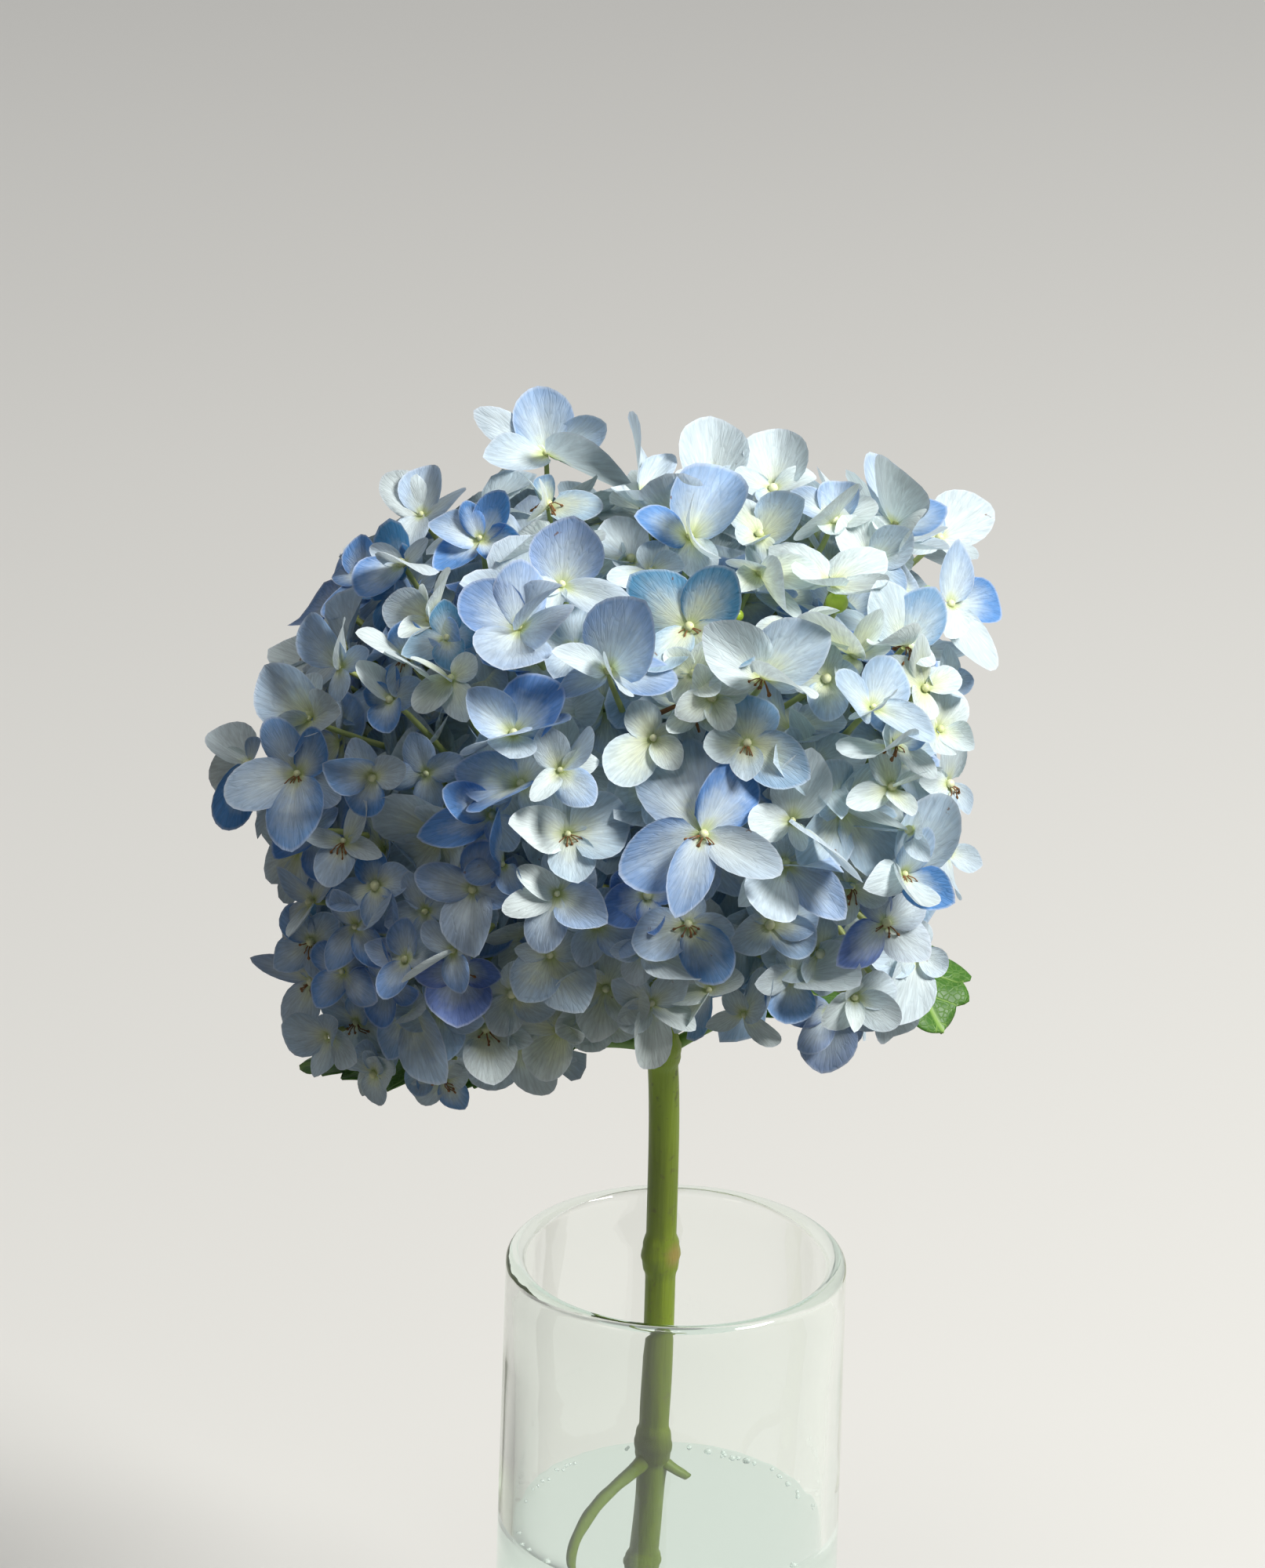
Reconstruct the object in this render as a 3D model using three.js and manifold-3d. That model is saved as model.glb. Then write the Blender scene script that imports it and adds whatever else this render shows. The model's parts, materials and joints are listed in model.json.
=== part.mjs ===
// A cut hydrangea in a straight glass vase, part-filled with water: one woody green stem,
// a pair of toothed leaves and a dense rounded head of four- and five-sepalled florets.
//
// Millimetres, +Z up. The origin is the middle of the vase's flat foot. +Y points away from
// the side that the flower is looked at from, and +X to the right of it.

import * as THREE from 'three';
import { mergeVertices } from 'three/addons/utils/BufferGeometryUtils.js';
import Module from 'manifold-3d';

const wasm = await Module();
wasm.setup();

// ---- Driving dimensions -------------------------------------------------------------------

const SEAT_GAP = 0.3; // between pieces that touch

const VASE_HEIGHT = 200;
const VASE_RIM_RADIUS = 45;
const VASE_FOOT_RADIUS = 47;
const VASE_WALL = 4;
const VASE_BASE = 9;
const VASE_LIP = 5.2; // the thickness of the rounded rim
const VASE_FOOT_ROUND = 3;
const VASE_INNER_ROUND = 9; // inside, where the wall meets the thick bottom
const WATER_LEVEL = 121;
const ROUND_SIDES = 40;

const STEM_RADIUS = 4.1;
const STEM_SIDES = 10;
const STEM_HEEL = 0.7; // the cut end is square to the leaning stem, so one side of it is lower
const STEM_NODE_SWELL = 1.5; // how far a node stands out from the stem
const STEM_NODE_HALF_HEIGHT = 6;
const STEM_NODE_HEIGHTS = [62, 126.5, 183, 245.5];

const HEAD_CENTRE = new THREE.Vector3(-18, 18, 335);
const HEAD_REACH = new THREE.Vector3(93, 93, 78); // to the petal tips
const HEAD_FULLNESS = 2.8; // 2 is an ellipsoid, and more is a boxier head
const HEAD_LEAN = 14.5; // the top lies this far to the right of the middle
const BULGE_HEIGHT = 9; // a cluster that stands out on the left
const BULGE_SIDE = new THREE.Vector3(-1, -0.15, -0.06).normalize();
const BULGE_SPREAD = 0.06;
const FLORET_DEPTH = 5; // from the tips' surface in to the middle of a floret
const FLORET_STAGGER = [0, 4, -3]; // and how much deeper than that each of three stands
const CORE_DEPTH = 17; // and in to the packed stalks
const FLORET_COUNT = 72;
const BUD_COUNT = 7;
const SEPAL_LENGTH = 22.5;
const FLORET_LIFT = 0.22; // florets face a little higher than the surface they stand on
const SEPAL_CROWN = 1.7; // a sepal's middle rises this much over the floret's centre
const NOTCH_SINK = 2.4; // and the notch between two sepals lies this much under it
const SEPAL_FLANK_TURN = 0.66; // radians from a sepal's middle line to its widest place
const BLADE_THICKNESS = 0.9;
const BEAD_RADIUS = 2.3;
const PEDICEL_RADIUS = 1.1;
const BUD_RADIUS = 3.2;
const BUD_DEPTH = 8;
const BARE_UNDERSIDE = THREE.MathUtils.degToRad(27); // round the stem, where no floret grows
const STALK_ROOT = 11; // how far a floret's stalk is sunk into the packed ones

const LEAF_TOOTH = 2.6;
const LEAF_TEETH = 13; // on each margin
const PETIOLE_RADIUS = 1.7;

// ---- Solids -------------------------------------------------------------------------------

function solidOf(geometry) {
  const bare = geometry.clone();
  bare.deleteAttribute('normal');
  bare.deleteAttribute('uv');
  const merged = mergeVertices(bare, 1e-4);
  return new wasm.Manifold(
    new wasm.Mesh({
      numProp: 3,
      vertProperties: new Float32Array(merged.attributes.position.array),
      triVerts: new Uint32Array(merged.index.array),
    }),
  );
}

function geometryOf(solid) {
  const mesh = solid.getMesh();
  const geometry = new THREE.BufferGeometry();
  geometry.setAttribute('position', new THREE.BufferAttribute(mesh.vertProperties, 3));
  geometry.setIndex(new THREE.BufferAttribute(mesh.triVerts, 1));
  geometry.computeVertexNormals();
  return geometry;
}

function geometryFrom(points, triangles) {
  const geometry = new THREE.BufferGeometry();
  const numbers = points.flatMap((point) => [point.x, point.y, point.z]);
  geometry.setAttribute('position', new THREE.Float32BufferAttribute(numbers, 3));
  geometry.setIndex(triangles.flat());
  return geometry;
}

// A number from 0 to 1 that is always the same for the same piece and purpose.
function draw(index, purpose) {
  const value = Math.sin(index * 12.9898 + purpose * 78.233) * 43758.5453;
  return value - Math.floor(value);
}

function drawBetween(low, high, index, purpose) {
  return low + (high - low) * draw(index, purpose);
}

// A closed round bar along a curve, with a radius that may change along it. It may run on
// past both ends of the curve by the overrun.
function bar(curve, radiusAt, steps, sides, overrun = 0) {
  const frames = curve.computeFrenetFrames(steps, false);
  const points = [];
  const triangles = [];
  for (let step = 0; step <= steps; step += 1) {
    const along = step / steps;
    const onward = (step === steps) - (step === 0);
    const centre = curve.getPointAt(along).addScaledVector(frames.tangents[step], onward * overrun);
    const radius = radiusAt(along);
    for (let side = 0; side < sides; side += 1) {
      const turn = (2 * Math.PI * side) / sides;
      points.push(
        centre
          .clone()
          .addScaledVector(frames.normals[step], radius * Math.cos(turn))
          .addScaledVector(frames.binormals[step], radius * Math.sin(turn)),
      );
    }
  }
  for (let step = 0; step < steps; step += 1) {
    for (let side = 0; side < sides; side += 1) {
      const a = step * sides + side;
      const b = step * sides + ((side + 1) % sides);
      triangles.push([a, b, b + sides], [a, b + sides, a + sides]);
    }
  }
  for (let side = 1; side < sides - 1; side += 1) {
    const last = steps * sides;
    triangles.push([0, side + 1, side], [last, last + side, last + side + 1]);
  }
  return geometryFrom(points, triangles);
}

// A plate from its upper face: the lower face is split into the same triangles.
function plate(upper, faces, rim, thicknessDirection) {
  const lower = upper.map((point) => point.clone().addScaledVector(thicknessDirection, -BLADE_THICKNESS));
  const count = upper.length;
  const triangles = [...faces];
  faces.forEach(([a, b, c]) => triangles.push([a + count, c + count, b + count]));
  rim.forEach((here, index) => {
    const next = rim[(index + 1) % rim.length];
    triangles.push([here, here + count, next + count], [here, next + count, next]);
  });
  return geometryFrom([...upper, ...lower], triangles);
}

function finish(colour, roughness, extra = {}) {
  return new THREE.MeshStandardMaterial({ color: colour, roughness, metalness: 0, ...extra });
}

function piece(name, geometry, material) {
  const mesh = new THREE.Mesh(geometry, material);
  mesh.name = name;
  return mesh;
}

// ---- Vase and water -----------------------------------------------------------------------

function outerRadiusAt(height) {
  return VASE_FOOT_RADIUS + ((VASE_RIM_RADIUS - VASE_FOOT_RADIUS) * height) / VASE_HEIGHT;
}

function innerRadiusAt(height) {
  return outerRadiusAt(height) - VASE_WALL;
}

// Points of a quarter or half circle in the profile plane, both ends included.
function arc(x, y, radius, fromDegrees, toDegrees, steps) {
  return Array.from({ length: steps + 1 }, (_, step) => {
    const turn = THREE.MathUtils.degToRad(fromDegrees + ((toDegrees - fromDegrees) * step) / steps);
    return new THREE.Vector2(x + radius * Math.cos(turn), y + radius * Math.sin(turn));
  });
}

function turned(profile, segments) {
  const geometry = new THREE.LatheGeometry(profile, segments);
  geometry.rotateX(Math.PI / 2);
  return geometry;
}

function vase() {
  const lipRadius = VASE_LIP / 2;
  const lipHeight = VASE_HEIGHT - lipRadius;
  const floorRound = VASE_INNER_ROUND;
  const innerFoot = innerRadiusAt(VASE_BASE + floorRound);
  const profile = [
    new THREE.Vector2(0, 0),
    ...arc(VASE_FOOT_RADIUS - VASE_FOOT_ROUND, VASE_FOOT_ROUND, VASE_FOOT_ROUND, -90, 0, 3),
    new THREE.Vector2(outerRadiusAt(lipHeight - lipRadius), lipHeight - lipRadius),
    ...arc(VASE_RIM_RADIUS - lipRadius, lipHeight, lipRadius, 0, 180, 6),
    new THREE.Vector2(innerRadiusAt(lipHeight - 2 * lipRadius), lipHeight - 2 * lipRadius),
    ...arc(innerFoot - floorRound, VASE_BASE + floorRound, floorRound, 0, -90, 4),
    new THREE.Vector2(0, VASE_BASE),
  ];
  return geometryOf(solidOf(turned(profile, ROUND_SIDES)));
}

function waterBody() {
  const floorRound = VASE_INNER_ROUND - SEAT_GAP;
  const bottom = VASE_BASE + SEAT_GAP;
  const innerFoot = innerRadiusAt(VASE_BASE + VASE_INNER_ROUND) - SEAT_GAP;
  const profile = [
    new THREE.Vector2(0, bottom),
    ...arc(innerFoot - floorRound, bottom + floorRound, floorRound, -90, 0, 4),
    new THREE.Vector2(innerRadiusAt(WATER_LEVEL) - SEAT_GAP, WATER_LEVEL),
    new THREE.Vector2(0, WATER_LEVEL),
  ];
  return solidOf(turned(profile, ROUND_SIDES));
}

// ---- Stem ---------------------------------------------------------------------------------

// It stands on the vase's floor, leans on the back of the rim and bends forward into the head.
const STEM_PATH = new THREE.CatmullRomCurve3(
  [
    new THREE.Vector3(-9, 22, VASE_BASE + SEAT_GAP + STEM_HEEL),
    new THREE.Vector3(-6.5, 30, 62),
    new THREE.Vector3(-4.2, 34.3, 126.5),
    new THREE.Vector3(-3.8, 35.2, 183),
    new THREE.Vector3(-5.4, 33, 245.5),
    new THREE.Vector3(-11, 27.5, 270),
    new THREE.Vector3(-17, 22, 291),
  ],
  false,
  'centripetal',
);

// The cut-down leaf stalk and a short stump that grow from the node under the waterline.
const SIDE_STALK_PATH = new THREE.CatmullRomCurve3([
  new THREE.Vector3(-4.5, 34, 125),
  new THREE.Vector3(-11, 29, 117),
  new THREE.Vector3(-19, 20, 109),
  new THREE.Vector3(-25, 9, 97),
  new THREE.Vector3(-27, 1, 82),
]);
const STUMP_PATH = new THREE.LineCurve3(
  new THREE.Vector3(-4.2, 34, 124),
  new THREE.Vector3(5.5, 31, 115),
);

function stemRadiusAt(along, extra) {
  const height = STEM_PATH.getPointAt(along).z;
  const swell = STEM_NODE_HEIGHTS.reduce((sum, nodeHeight) => {
    const distance = Math.abs(height - nodeHeight) / STEM_NODE_HALF_HEIGHT;
    return sum + (distance < 1 ? STEM_NODE_SWELL * (1 - distance ** 2) : 0);
  }, 0);
  return STEM_RADIUS + swell + extra;
}

function stalkRadiusAt(along, extra) {
  return 2.4 - 0.9 * along + extra;
}

function stemSolid(extra) {
  const main = solidOf(bar(STEM_PATH, (along) => stemRadiusAt(along, extra), 64, STEM_SIDES, extra));
  const stalk = solidOf(bar(SIDE_STALK_PATH, (along) => stalkRadiusAt(along, extra), 12, 8, extra));
  const stump = solidOf(bar(STUMP_PATH, (along) => stalkRadiusAt(along, extra), 2, 8, extra));
  return main.add(stalk).add(stump);
}

// The plain hole that the stem stands in: wider by the seat gap, and open at the top.
function stemHole() {
  const below = new THREE.Vector3(-9.2, 21.5, VASE_BASE - 2);
  const foot = STEM_PATH.getPointAt(0);
  const heel = new THREE.LineCurve3(below, foot.clone().add(new THREE.Vector3(0, 0, 1)));
  return stemSolid(SEAT_GAP).add(solidOf(bar(heel, () => STEM_RADIUS + SEAT_GAP, 2, STEM_SIDES)));
}

// ---- Leaves -------------------------------------------------------------------------------

// One toothed blade on its stalk. The blade's midrib follows the curve, its halves rise from
// it by the fold angle, and the widest place is nearer the stalk than the tip.
function leaf({ stalk, midrib, halfWidth, fold, lean }) {
  const upper = [];
  const triangles = [];
  const up = new THREE.Vector3(0, 0, 1);
  for (let step = 0; step <= LEAF_TEETH; step += 1) {
    upper.push(midrib.getPointAt(step / LEAF_TEETH));
  }
  const marginOf = (sign) => {
    const margin = [];
    for (let step = 1; step < 2 * LEAF_TEETH; step += 1) {
      const along = step / (2 * LEAF_TEETH);
      const tangent = midrib.getTangentAt(along);
      const sideways = new THREE.Vector3().crossVectors(up, tangent).normalize();
      const rise = new THREE.Vector3().crossVectors(tangent, sideways).normalize();
      const angle = fold + sign * lean;
      const tooth = step % 2 === 1 ? LEAF_TOOTH : 0;
      const width = halfWidth * Math.sin(Math.PI * along ** 0.8) ** 0.75 + tooth;
      const out = midrib
        .getPointAt(along)
        .addScaledVector(sideways, sign * width * Math.cos(angle))
        .addScaledVector(rise, width * Math.sin(angle))
        .addScaledVector(tangent, tooth);
      upper.push(out);
      margin.push(upper.length - 1);
    }
    return margin;
  };
  const left = marginOf(1);
  const right = marginOf(-1);
  for (let step = 0; step < LEAF_TEETH; step += 1) {
    const tooth = 2 * step;
    [
      [left, 1],
      [right, -1],
    ].forEach(([margin, sign]) => {
      const faces = [];
      if (step > 0) {
        faces.push([step, margin[tooth], margin[tooth - 1]]);
      }
      faces.push([step, step + 1, margin[tooth]]);
      if (step < LEAF_TEETH - 1) {
        faces.push([step + 1, margin[tooth + 1], margin[tooth]]);
      }
      faces.forEach(([a, b, c]) => triangles.push(sign > 0 ? [a, b, c] : [a, c, b]));
    });
  }
  const rim = [0, ...right, LEAF_TEETH, ...[...left].reverse()];
  const blade = solidOf(plate(upper, triangles, rim, up));
  const rib = new THREE.CatmullRomCurve3([...stalk, ...midrib.points.slice(1, 3)]);
  return blade.add(solidOf(bar(rib, (along) => PETIOLE_RADIUS * (1.15 - 0.75 * along), 8, 6)));
}

const LEAF_RIGHT = {
  stalk: [new THREE.Vector3(-1.3, 35, 246), new THREE.Vector3(8, 42, 248.5)],
  midrib: new THREE.CatmullRomCurve3([
    new THREE.Vector3(16, 48, 250),
    new THREE.Vector3(38, 61, 254),
    new THREE.Vector3(60, 66, 256),
    new THREE.Vector3(72, 59, 246),
  ]),
  halfWidth: 27,
  fold: THREE.MathUtils.degToRad(8),
  lean: 0,
};

const LEAF_LEFT = {
  stalk: [new THREE.Vector3(-9.7, 31.7, 246), new THREE.Vector3(-19, 28, 244)],
  midrib: new THREE.CatmullRomCurve3([
    new THREE.Vector3(-27, 26, 242),
    new THREE.Vector3(-52, 24, 240),
    new THREE.Vector3(-78, 22, 241),
    new THREE.Vector3(-101, 20, 239),
  ]),
  halfWidth: 20,
  fold: THREE.MathUtils.degToRad(8),
  lean: THREE.MathUtils.degToRad(-10),
};

// ---- Flower head --------------------------------------------------------------------------

// A floret's sepals as one cupped plate: a notch, two flanks and a tip for each.
// It opens towards +Z round the origin, on a thin stalk that runs down into the head.
function floret({ sepals, length, cup, stalkLength, index }) {
  const step = (2 * Math.PI) / sepals;
  const breadth = (4 / sepals) ** 0.8;
  const upper = [new THREE.Vector3(0, 0, 0)];
  const rim = [];
  const faces = [];
  for (let sepal = 0; sepal < sepals; sepal += 1) {
    const reach = length * drawBetween(0.86, 1.05, index, sepal + 20);
    const rise = cup + drawBetween(-2.2, 2.2, index, sepal + 30);
    const at = (turn, radius, height) => {
      const angle = sepal * step + turn * breadth;
      return new THREE.Vector3(radius * Math.cos(angle), radius * Math.sin(angle), height);
    };
    const first = upper.length;
    upper.push(
      at(0, 0.52 * reach, 0.35 * rise + SEPAL_CROWN),
      at(-step / 2 / breadth, 0.6 * length, -NOTCH_SINK),
      at(-SEPAL_FLANK_TURN, 0.86 * reach, 0.75 * rise),
      at(0, reach, rise),
      at(SEPAL_FLANK_TURN, 0.86 * reach, 0.75 * rise),
    );
    const nextNotch = sepal === sepals - 1 ? 2 : first + 6;
    rim.push(first + 1, first + 2, first + 3, first + 4);
    faces.push(
      [0, first + 1, first],
      [0, first, nextNotch],
      [first, first + 1, first + 2],
      [first, first + 2, first + 3],
      [first, first + 3, first + 4],
      [first, first + 4, nextNotch],
    );
  }
  const blade = solidOf(plate(upper, faces, rim, new THREE.Vector3(0, 0, 1)));
  const stalk = new THREE.CylinderGeometry(PEDICEL_RADIUS, PEDICEL_RADIUS, stalkLength, 3, 1);
  stalk.rotateX(Math.PI / 2);
  stalk.translate(0, 0, -stalkLength / 2 - BLADE_THICKNESS / 2);
  const bead = new THREE.OctahedronGeometry(BEAD_RADIUS);
  bead.rotateZ(0.4);
  bead.translate(0, 0, 1.1);
  return blade.add(solidOf(stalk)).add(solidOf(bead));
}

function bud(stalkLength) {
  const ball = new THREE.IcosahedronGeometry(BUD_RADIUS, 0);
  const stalk = new THREE.CylinderGeometry(PEDICEL_RADIUS, PEDICEL_RADIUS, stalkLength, 3, 1);
  stalk.rotateX(Math.PI / 2);
  stalk.translate(0, 0, -stalkLength / 2);
  return solidOf(ball).add(solidOf(stalk));
}

// Directions spread evenly over a ball by the golden angle, from its top down to its foot.
function evenDirections(count) {
  const goldenAngle = Math.PI * (3 - Math.sqrt(5));
  return Array.from({ length: count }, (_, index) => {
    const height = 1 - (2 * index + 1) / count;
    const radius = Math.sqrt(1 - height ** 2);
    const turn = index * goldenAngle;
    return new THREE.Vector3(radius * Math.cos(turn), radius * Math.sin(turn), height);
  });
}

// The place in a direction from the head's centre, at a depth under the petal tips.
function onHead(direction, depth) {
  const parts = direction.toArray();
  const sum = parts.reduce((total, part) => total + Math.abs(part) ** HEAD_FULLNESS, 0);
  const share = direction.clone().multiplyScalar(sum ** (-1 / HEAD_FULLNESS));
  const place = share.clone().multiply(HEAD_REACH.clone().subScalar(depth));
  place.x += HEAD_LEAN * share.z;
  const bulge = BULGE_HEIGHT * Math.exp((direction.dot(BULGE_SIDE) - 1) / BULGE_SPREAD);
  return place.addScaledVector(BULGE_SIDE, bulge).add(HEAD_CENTRE);
}

// The way a floret faces there: between square to the head's surface and straight out.
function outwardAt(direction) {
  const square = (part, reach) => (Math.sign(part) * Math.abs(part) ** (HEAD_FULLNESS - 1)) / reach;
  const surface = new THREE.Vector3(
    square(direction.x, HEAD_REACH.x),
    square(direction.y, HEAD_REACH.y),
    square(direction.z, HEAD_REACH.z),
  ).normalize();
  return surface.add(direction).normalize();
}

function placed(solid, place, outward, spin) {
  const upright = new THREE.Quaternion().setFromUnitVectors(new THREE.Vector3(0, 0, 1), outward);
  const turn = new THREE.Quaternion().setFromAxisAngle(new THREE.Vector3(0, 0, 1), spin);
  const matrix = new THREE.Matrix4().compose(place, upright.multiply(turn), new THREE.Vector3(1, 1, 1));
  return solid.transform(matrix.elements);
}

function flowerHead(stemSocket) {
  const core = new THREE.SphereGeometry(1, 16, 12);
  core.rotateX(Math.PI / 2);
  const corner = new THREE.Vector3();
  for (let index = 0; index < core.attributes.position.count; index += 1) {
    corner.fromBufferAttribute(core.attributes.position, index).normalize();
    core.attributes.position.setXYZ(index, ...onHead(corner, CORE_DEPTH).toArray());
  }
  let head = solidOf(core);

  const stemTop = STEM_PATH.getPointAt(1);
  const stemNode = new THREE.Vector3(-5.4, 33, 245.5);
  const stemSide = stemNode.sub(HEAD_CENTRE).normalize();
  evenDirections(FLORET_COUNT).forEach((direction, index) => {
    if (direction.angleTo(stemSide) < BARE_UNDERSIDE) {
      return;
    }
    const depth = FLORET_DEPTH + FLORET_STAGGER[index % FLORET_STAGGER.length];
    const outward = outwardAt(direction);
    outward.x += drawBetween(-0.16, 0.16, index, 1);
    outward.y += drawBetween(-0.16, 0.16, index, 2);
    outward.z += FLORET_LIFT + drawBetween(-0.1, 0.1, index, 3);
    const solid = floret({
      sepals: draw(index, 4) < 0.15 ? 5 : 4,
      length: SEPAL_LENGTH,
      cup: 1.5,
      stalkLength: CORE_DEPTH - depth + STALK_ROOT,
      index,
    });
    const spin = drawBetween(0, Math.PI, index, 5);
    head = head.add(placed(solid, onHead(direction, depth), outward.normalize(), spin));
  });
  evenDirections(BUD_COUNT).forEach((direction) => {
    if (direction.angleTo(stemSide) > BARE_UNDERSIDE) {
      const place = onHead(direction, BUD_DEPTH);
      head = head.add(placed(bud(CORE_DEPTH - BUD_DEPTH + STALK_ROOT), place, outwardAt(direction), 0));
    }
  });
  return head.subtract(stemSocket);
}

// ---- The whole ----------------------------------------------------------------------------

const hydrangea = new THREE.Group();
const clearGlass = finish(0xdfe6e4, 0.03, { transparent: true, opacity: 0.35 });
const clearWater = finish(0xe6f0ee, 0.02, { transparent: true, opacity: 0.45 });
const stem = stemSolid(0);
const hole = stemHole();

hydrangea.add(piece('vase', vase(), clearGlass));
hydrangea.add(piece('water', geometryOf(waterBody().subtract(hole)), clearWater));
hydrangea.add(piece('stem', geometryOf(stem), finish(0x5f7a1e, 0.55)));
hydrangea.add(piece('leaf_right', geometryOf(leaf(LEAF_RIGHT).subtract(hole)), finish(0x5f9a3c, 0.5)));
hydrangea.add(piece('leaf_left', geometryOf(leaf(LEAF_LEFT).subtract(hole)), finish(0x2f5a1c, 0.5)));
hydrangea.add(piece('flower_head', geometryOf(flowerHead(hole)), finish(0x86a6dc, 0.6)));

export default hydrangea;
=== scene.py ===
# A cut hydrangea in a clear glass cylinder of water: one woody green stem, two toothed leaves
# and a dense rounded head of blue, pale and cream florets. Metres, +Z up, in the frame of the
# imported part: the origin is the middle of the vase's foot and +Y points away from the viewer.

import json
import math

import bpy
import numpy as np
from mathutils import Euler, Matrix, Vector

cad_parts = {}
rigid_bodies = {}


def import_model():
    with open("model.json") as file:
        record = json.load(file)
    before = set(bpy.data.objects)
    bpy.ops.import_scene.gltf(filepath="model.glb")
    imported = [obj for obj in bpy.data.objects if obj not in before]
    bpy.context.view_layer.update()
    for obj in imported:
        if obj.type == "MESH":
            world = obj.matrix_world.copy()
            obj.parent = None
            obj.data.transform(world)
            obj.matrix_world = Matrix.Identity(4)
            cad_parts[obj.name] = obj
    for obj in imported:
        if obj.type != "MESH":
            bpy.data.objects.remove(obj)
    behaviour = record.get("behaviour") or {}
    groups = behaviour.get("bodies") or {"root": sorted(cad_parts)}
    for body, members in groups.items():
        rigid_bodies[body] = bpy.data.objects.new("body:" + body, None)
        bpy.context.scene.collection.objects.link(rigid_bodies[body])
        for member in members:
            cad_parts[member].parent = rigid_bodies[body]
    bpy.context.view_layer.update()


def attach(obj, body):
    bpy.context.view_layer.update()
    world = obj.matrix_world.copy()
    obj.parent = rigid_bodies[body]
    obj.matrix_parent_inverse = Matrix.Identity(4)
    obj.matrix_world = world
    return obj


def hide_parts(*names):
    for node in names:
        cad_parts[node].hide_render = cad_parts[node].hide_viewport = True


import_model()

# ---- Camera -------------------------------------------------------------------------------
# The picture was taken looking down at the head through a long lens, held 1.6 degrees off
# level. The same eye and axes place the florets that the picture shows.

PICTURE_WIDTH, PICTURE_HEIGHT = 1613, 2000
FOCAL_PIXELS = 7728
SENSOR = 36.0
EYE = Vector((-0.0150, -1.4433, 0.9016))
LOOK_DOWN = math.radians(21.5)
ROLL = math.radians(1.6)

ahead = Vector((0, math.cos(LOOK_DOWN), -math.sin(LOOK_DOWN)))
level_up = Vector((0, math.sin(LOOK_DOWN), math.cos(LOOK_DOWN)))
view_right = Vector((math.cos(ROLL), 0, 0)) + math.sin(ROLL) * level_up
view_up = math.cos(ROLL) * level_up - Vector((math.sin(ROLL), 0, 0))

lens = bpy.data.cameras.new("picture_lens")
lens.sensor_width = SENSOR
lens.lens = FOCAL_PIXELS / max(PICTURE_WIDTH, PICTURE_HEIGHT) * SENSOR
lens.clip_end = 50
camera = bpy.data.objects.new("picture_camera", lens)
camera.matrix_world = Matrix.Translation(EYE) @ Matrix((view_right, view_up, -ahead)).transposed().to_4x4()
bpy.context.collection.objects.link(camera)
bpy.context.scene.camera = camera

# ---- Vase ---------------------------------------------------------------------------------
# A straight cylinder of clear soda-lime glass, pressed in a mould: 4 mm walls, a thick flat
# bottom and a fire-polished, rounded rim. The wall isn't quite even, so reflections waver.

VASE_HEIGHT = 0.200
VASE_RIM_RADIUS = 0.045
VASE_FOOT_RADIUS = 0.047
VASE_WALL = 0.004
VASE_BASE = 0.009
VASE_LIP = 0.0052
VASE_FOOT_ROUND = 0.003
VASE_INNER_ROUND = 0.009
HOLLOW, HOLLOW_RADIUS, STAND_RADIUS = 0.0012, 0.034, 0.038  # it stands on a ring round a hollow
BASE_CROWN = 0.0008  # the bottom rises this much in the middle
ROUND_SIDES = 128
CAUGHT = 2  # a ray that has turned more often than this in the wall is caught


def linear(hex_colour):
    """An sRGB hex colour as linear red, green, blue and alpha."""
    channels = [int(hex_colour[at : at + 2], 16) / 255 for at in (1, 3, 5)]
    return [c / 12.92 if c <= 0.04045 else ((c + 0.055) / 1.055) ** 2.4 for c in channels] + [1]


def add(tree, kind, inputs=None, **settings):
    """One node. An input is a value, a hex colour, or another node's output to link from."""
    node = tree.nodes.new(kind)
    for name, value in settings.items():
        setattr(node, name, value)
    for key, value in (inputs or {}).items():
        if isinstance(value, bpy.types.NodeSocket):
            tree.links.new(value, node.inputs[key])
        else:
            is_colour = isinstance(value, str) and value.startswith("#")
            node.inputs[key].default_value = linear(value) if is_colour else value
    return node


def calc(tree, operation, *values, clamp=False):
    """One step of arithmetic on numbers or outputs."""
    inputs = dict(enumerate(values))
    return add(tree, "ShaderNodeMath", inputs, operation=operation, use_clamp=clamp).outputs[0]


def noise(tree, vector, scale, detail):
    return add(tree, "ShaderNodeTexNoise", {"Vector": vector, "Scale": scale, "Detail": detail}).outputs[0]


def bump(tree, height, strength, distance, invert=False):
    inputs = {"Height": height, "Strength": strength, "Distance": distance}
    return add(tree, "ShaderNodeBump", inputs, invert=invert).outputs[0]


def new_finish(name):
    """An empty material, its node tree and its place in object coordinates."""
    material = bpy.data.materials.new(name)
    material.use_nodes = True
    material.node_tree.nodes.clear()
    place = add(material.node_tree, "ShaderNodeTexCoord").outputs["Object"]
    return material, material.node_tree, place


def show(tree, surface, other=None, share=0):
    """Makes a shader the finish's surface, or a mixture of two by the second one's share."""
    if other is not None:
        inputs = {0: share, 1: surface.outputs[0], 2: other.outputs[0]}
        surface = add(tree, "ShaderNodeMixShader", inputs)
    add(tree, "ShaderNodeOutputMaterial", {"Surface": surface.outputs[0]})


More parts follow.
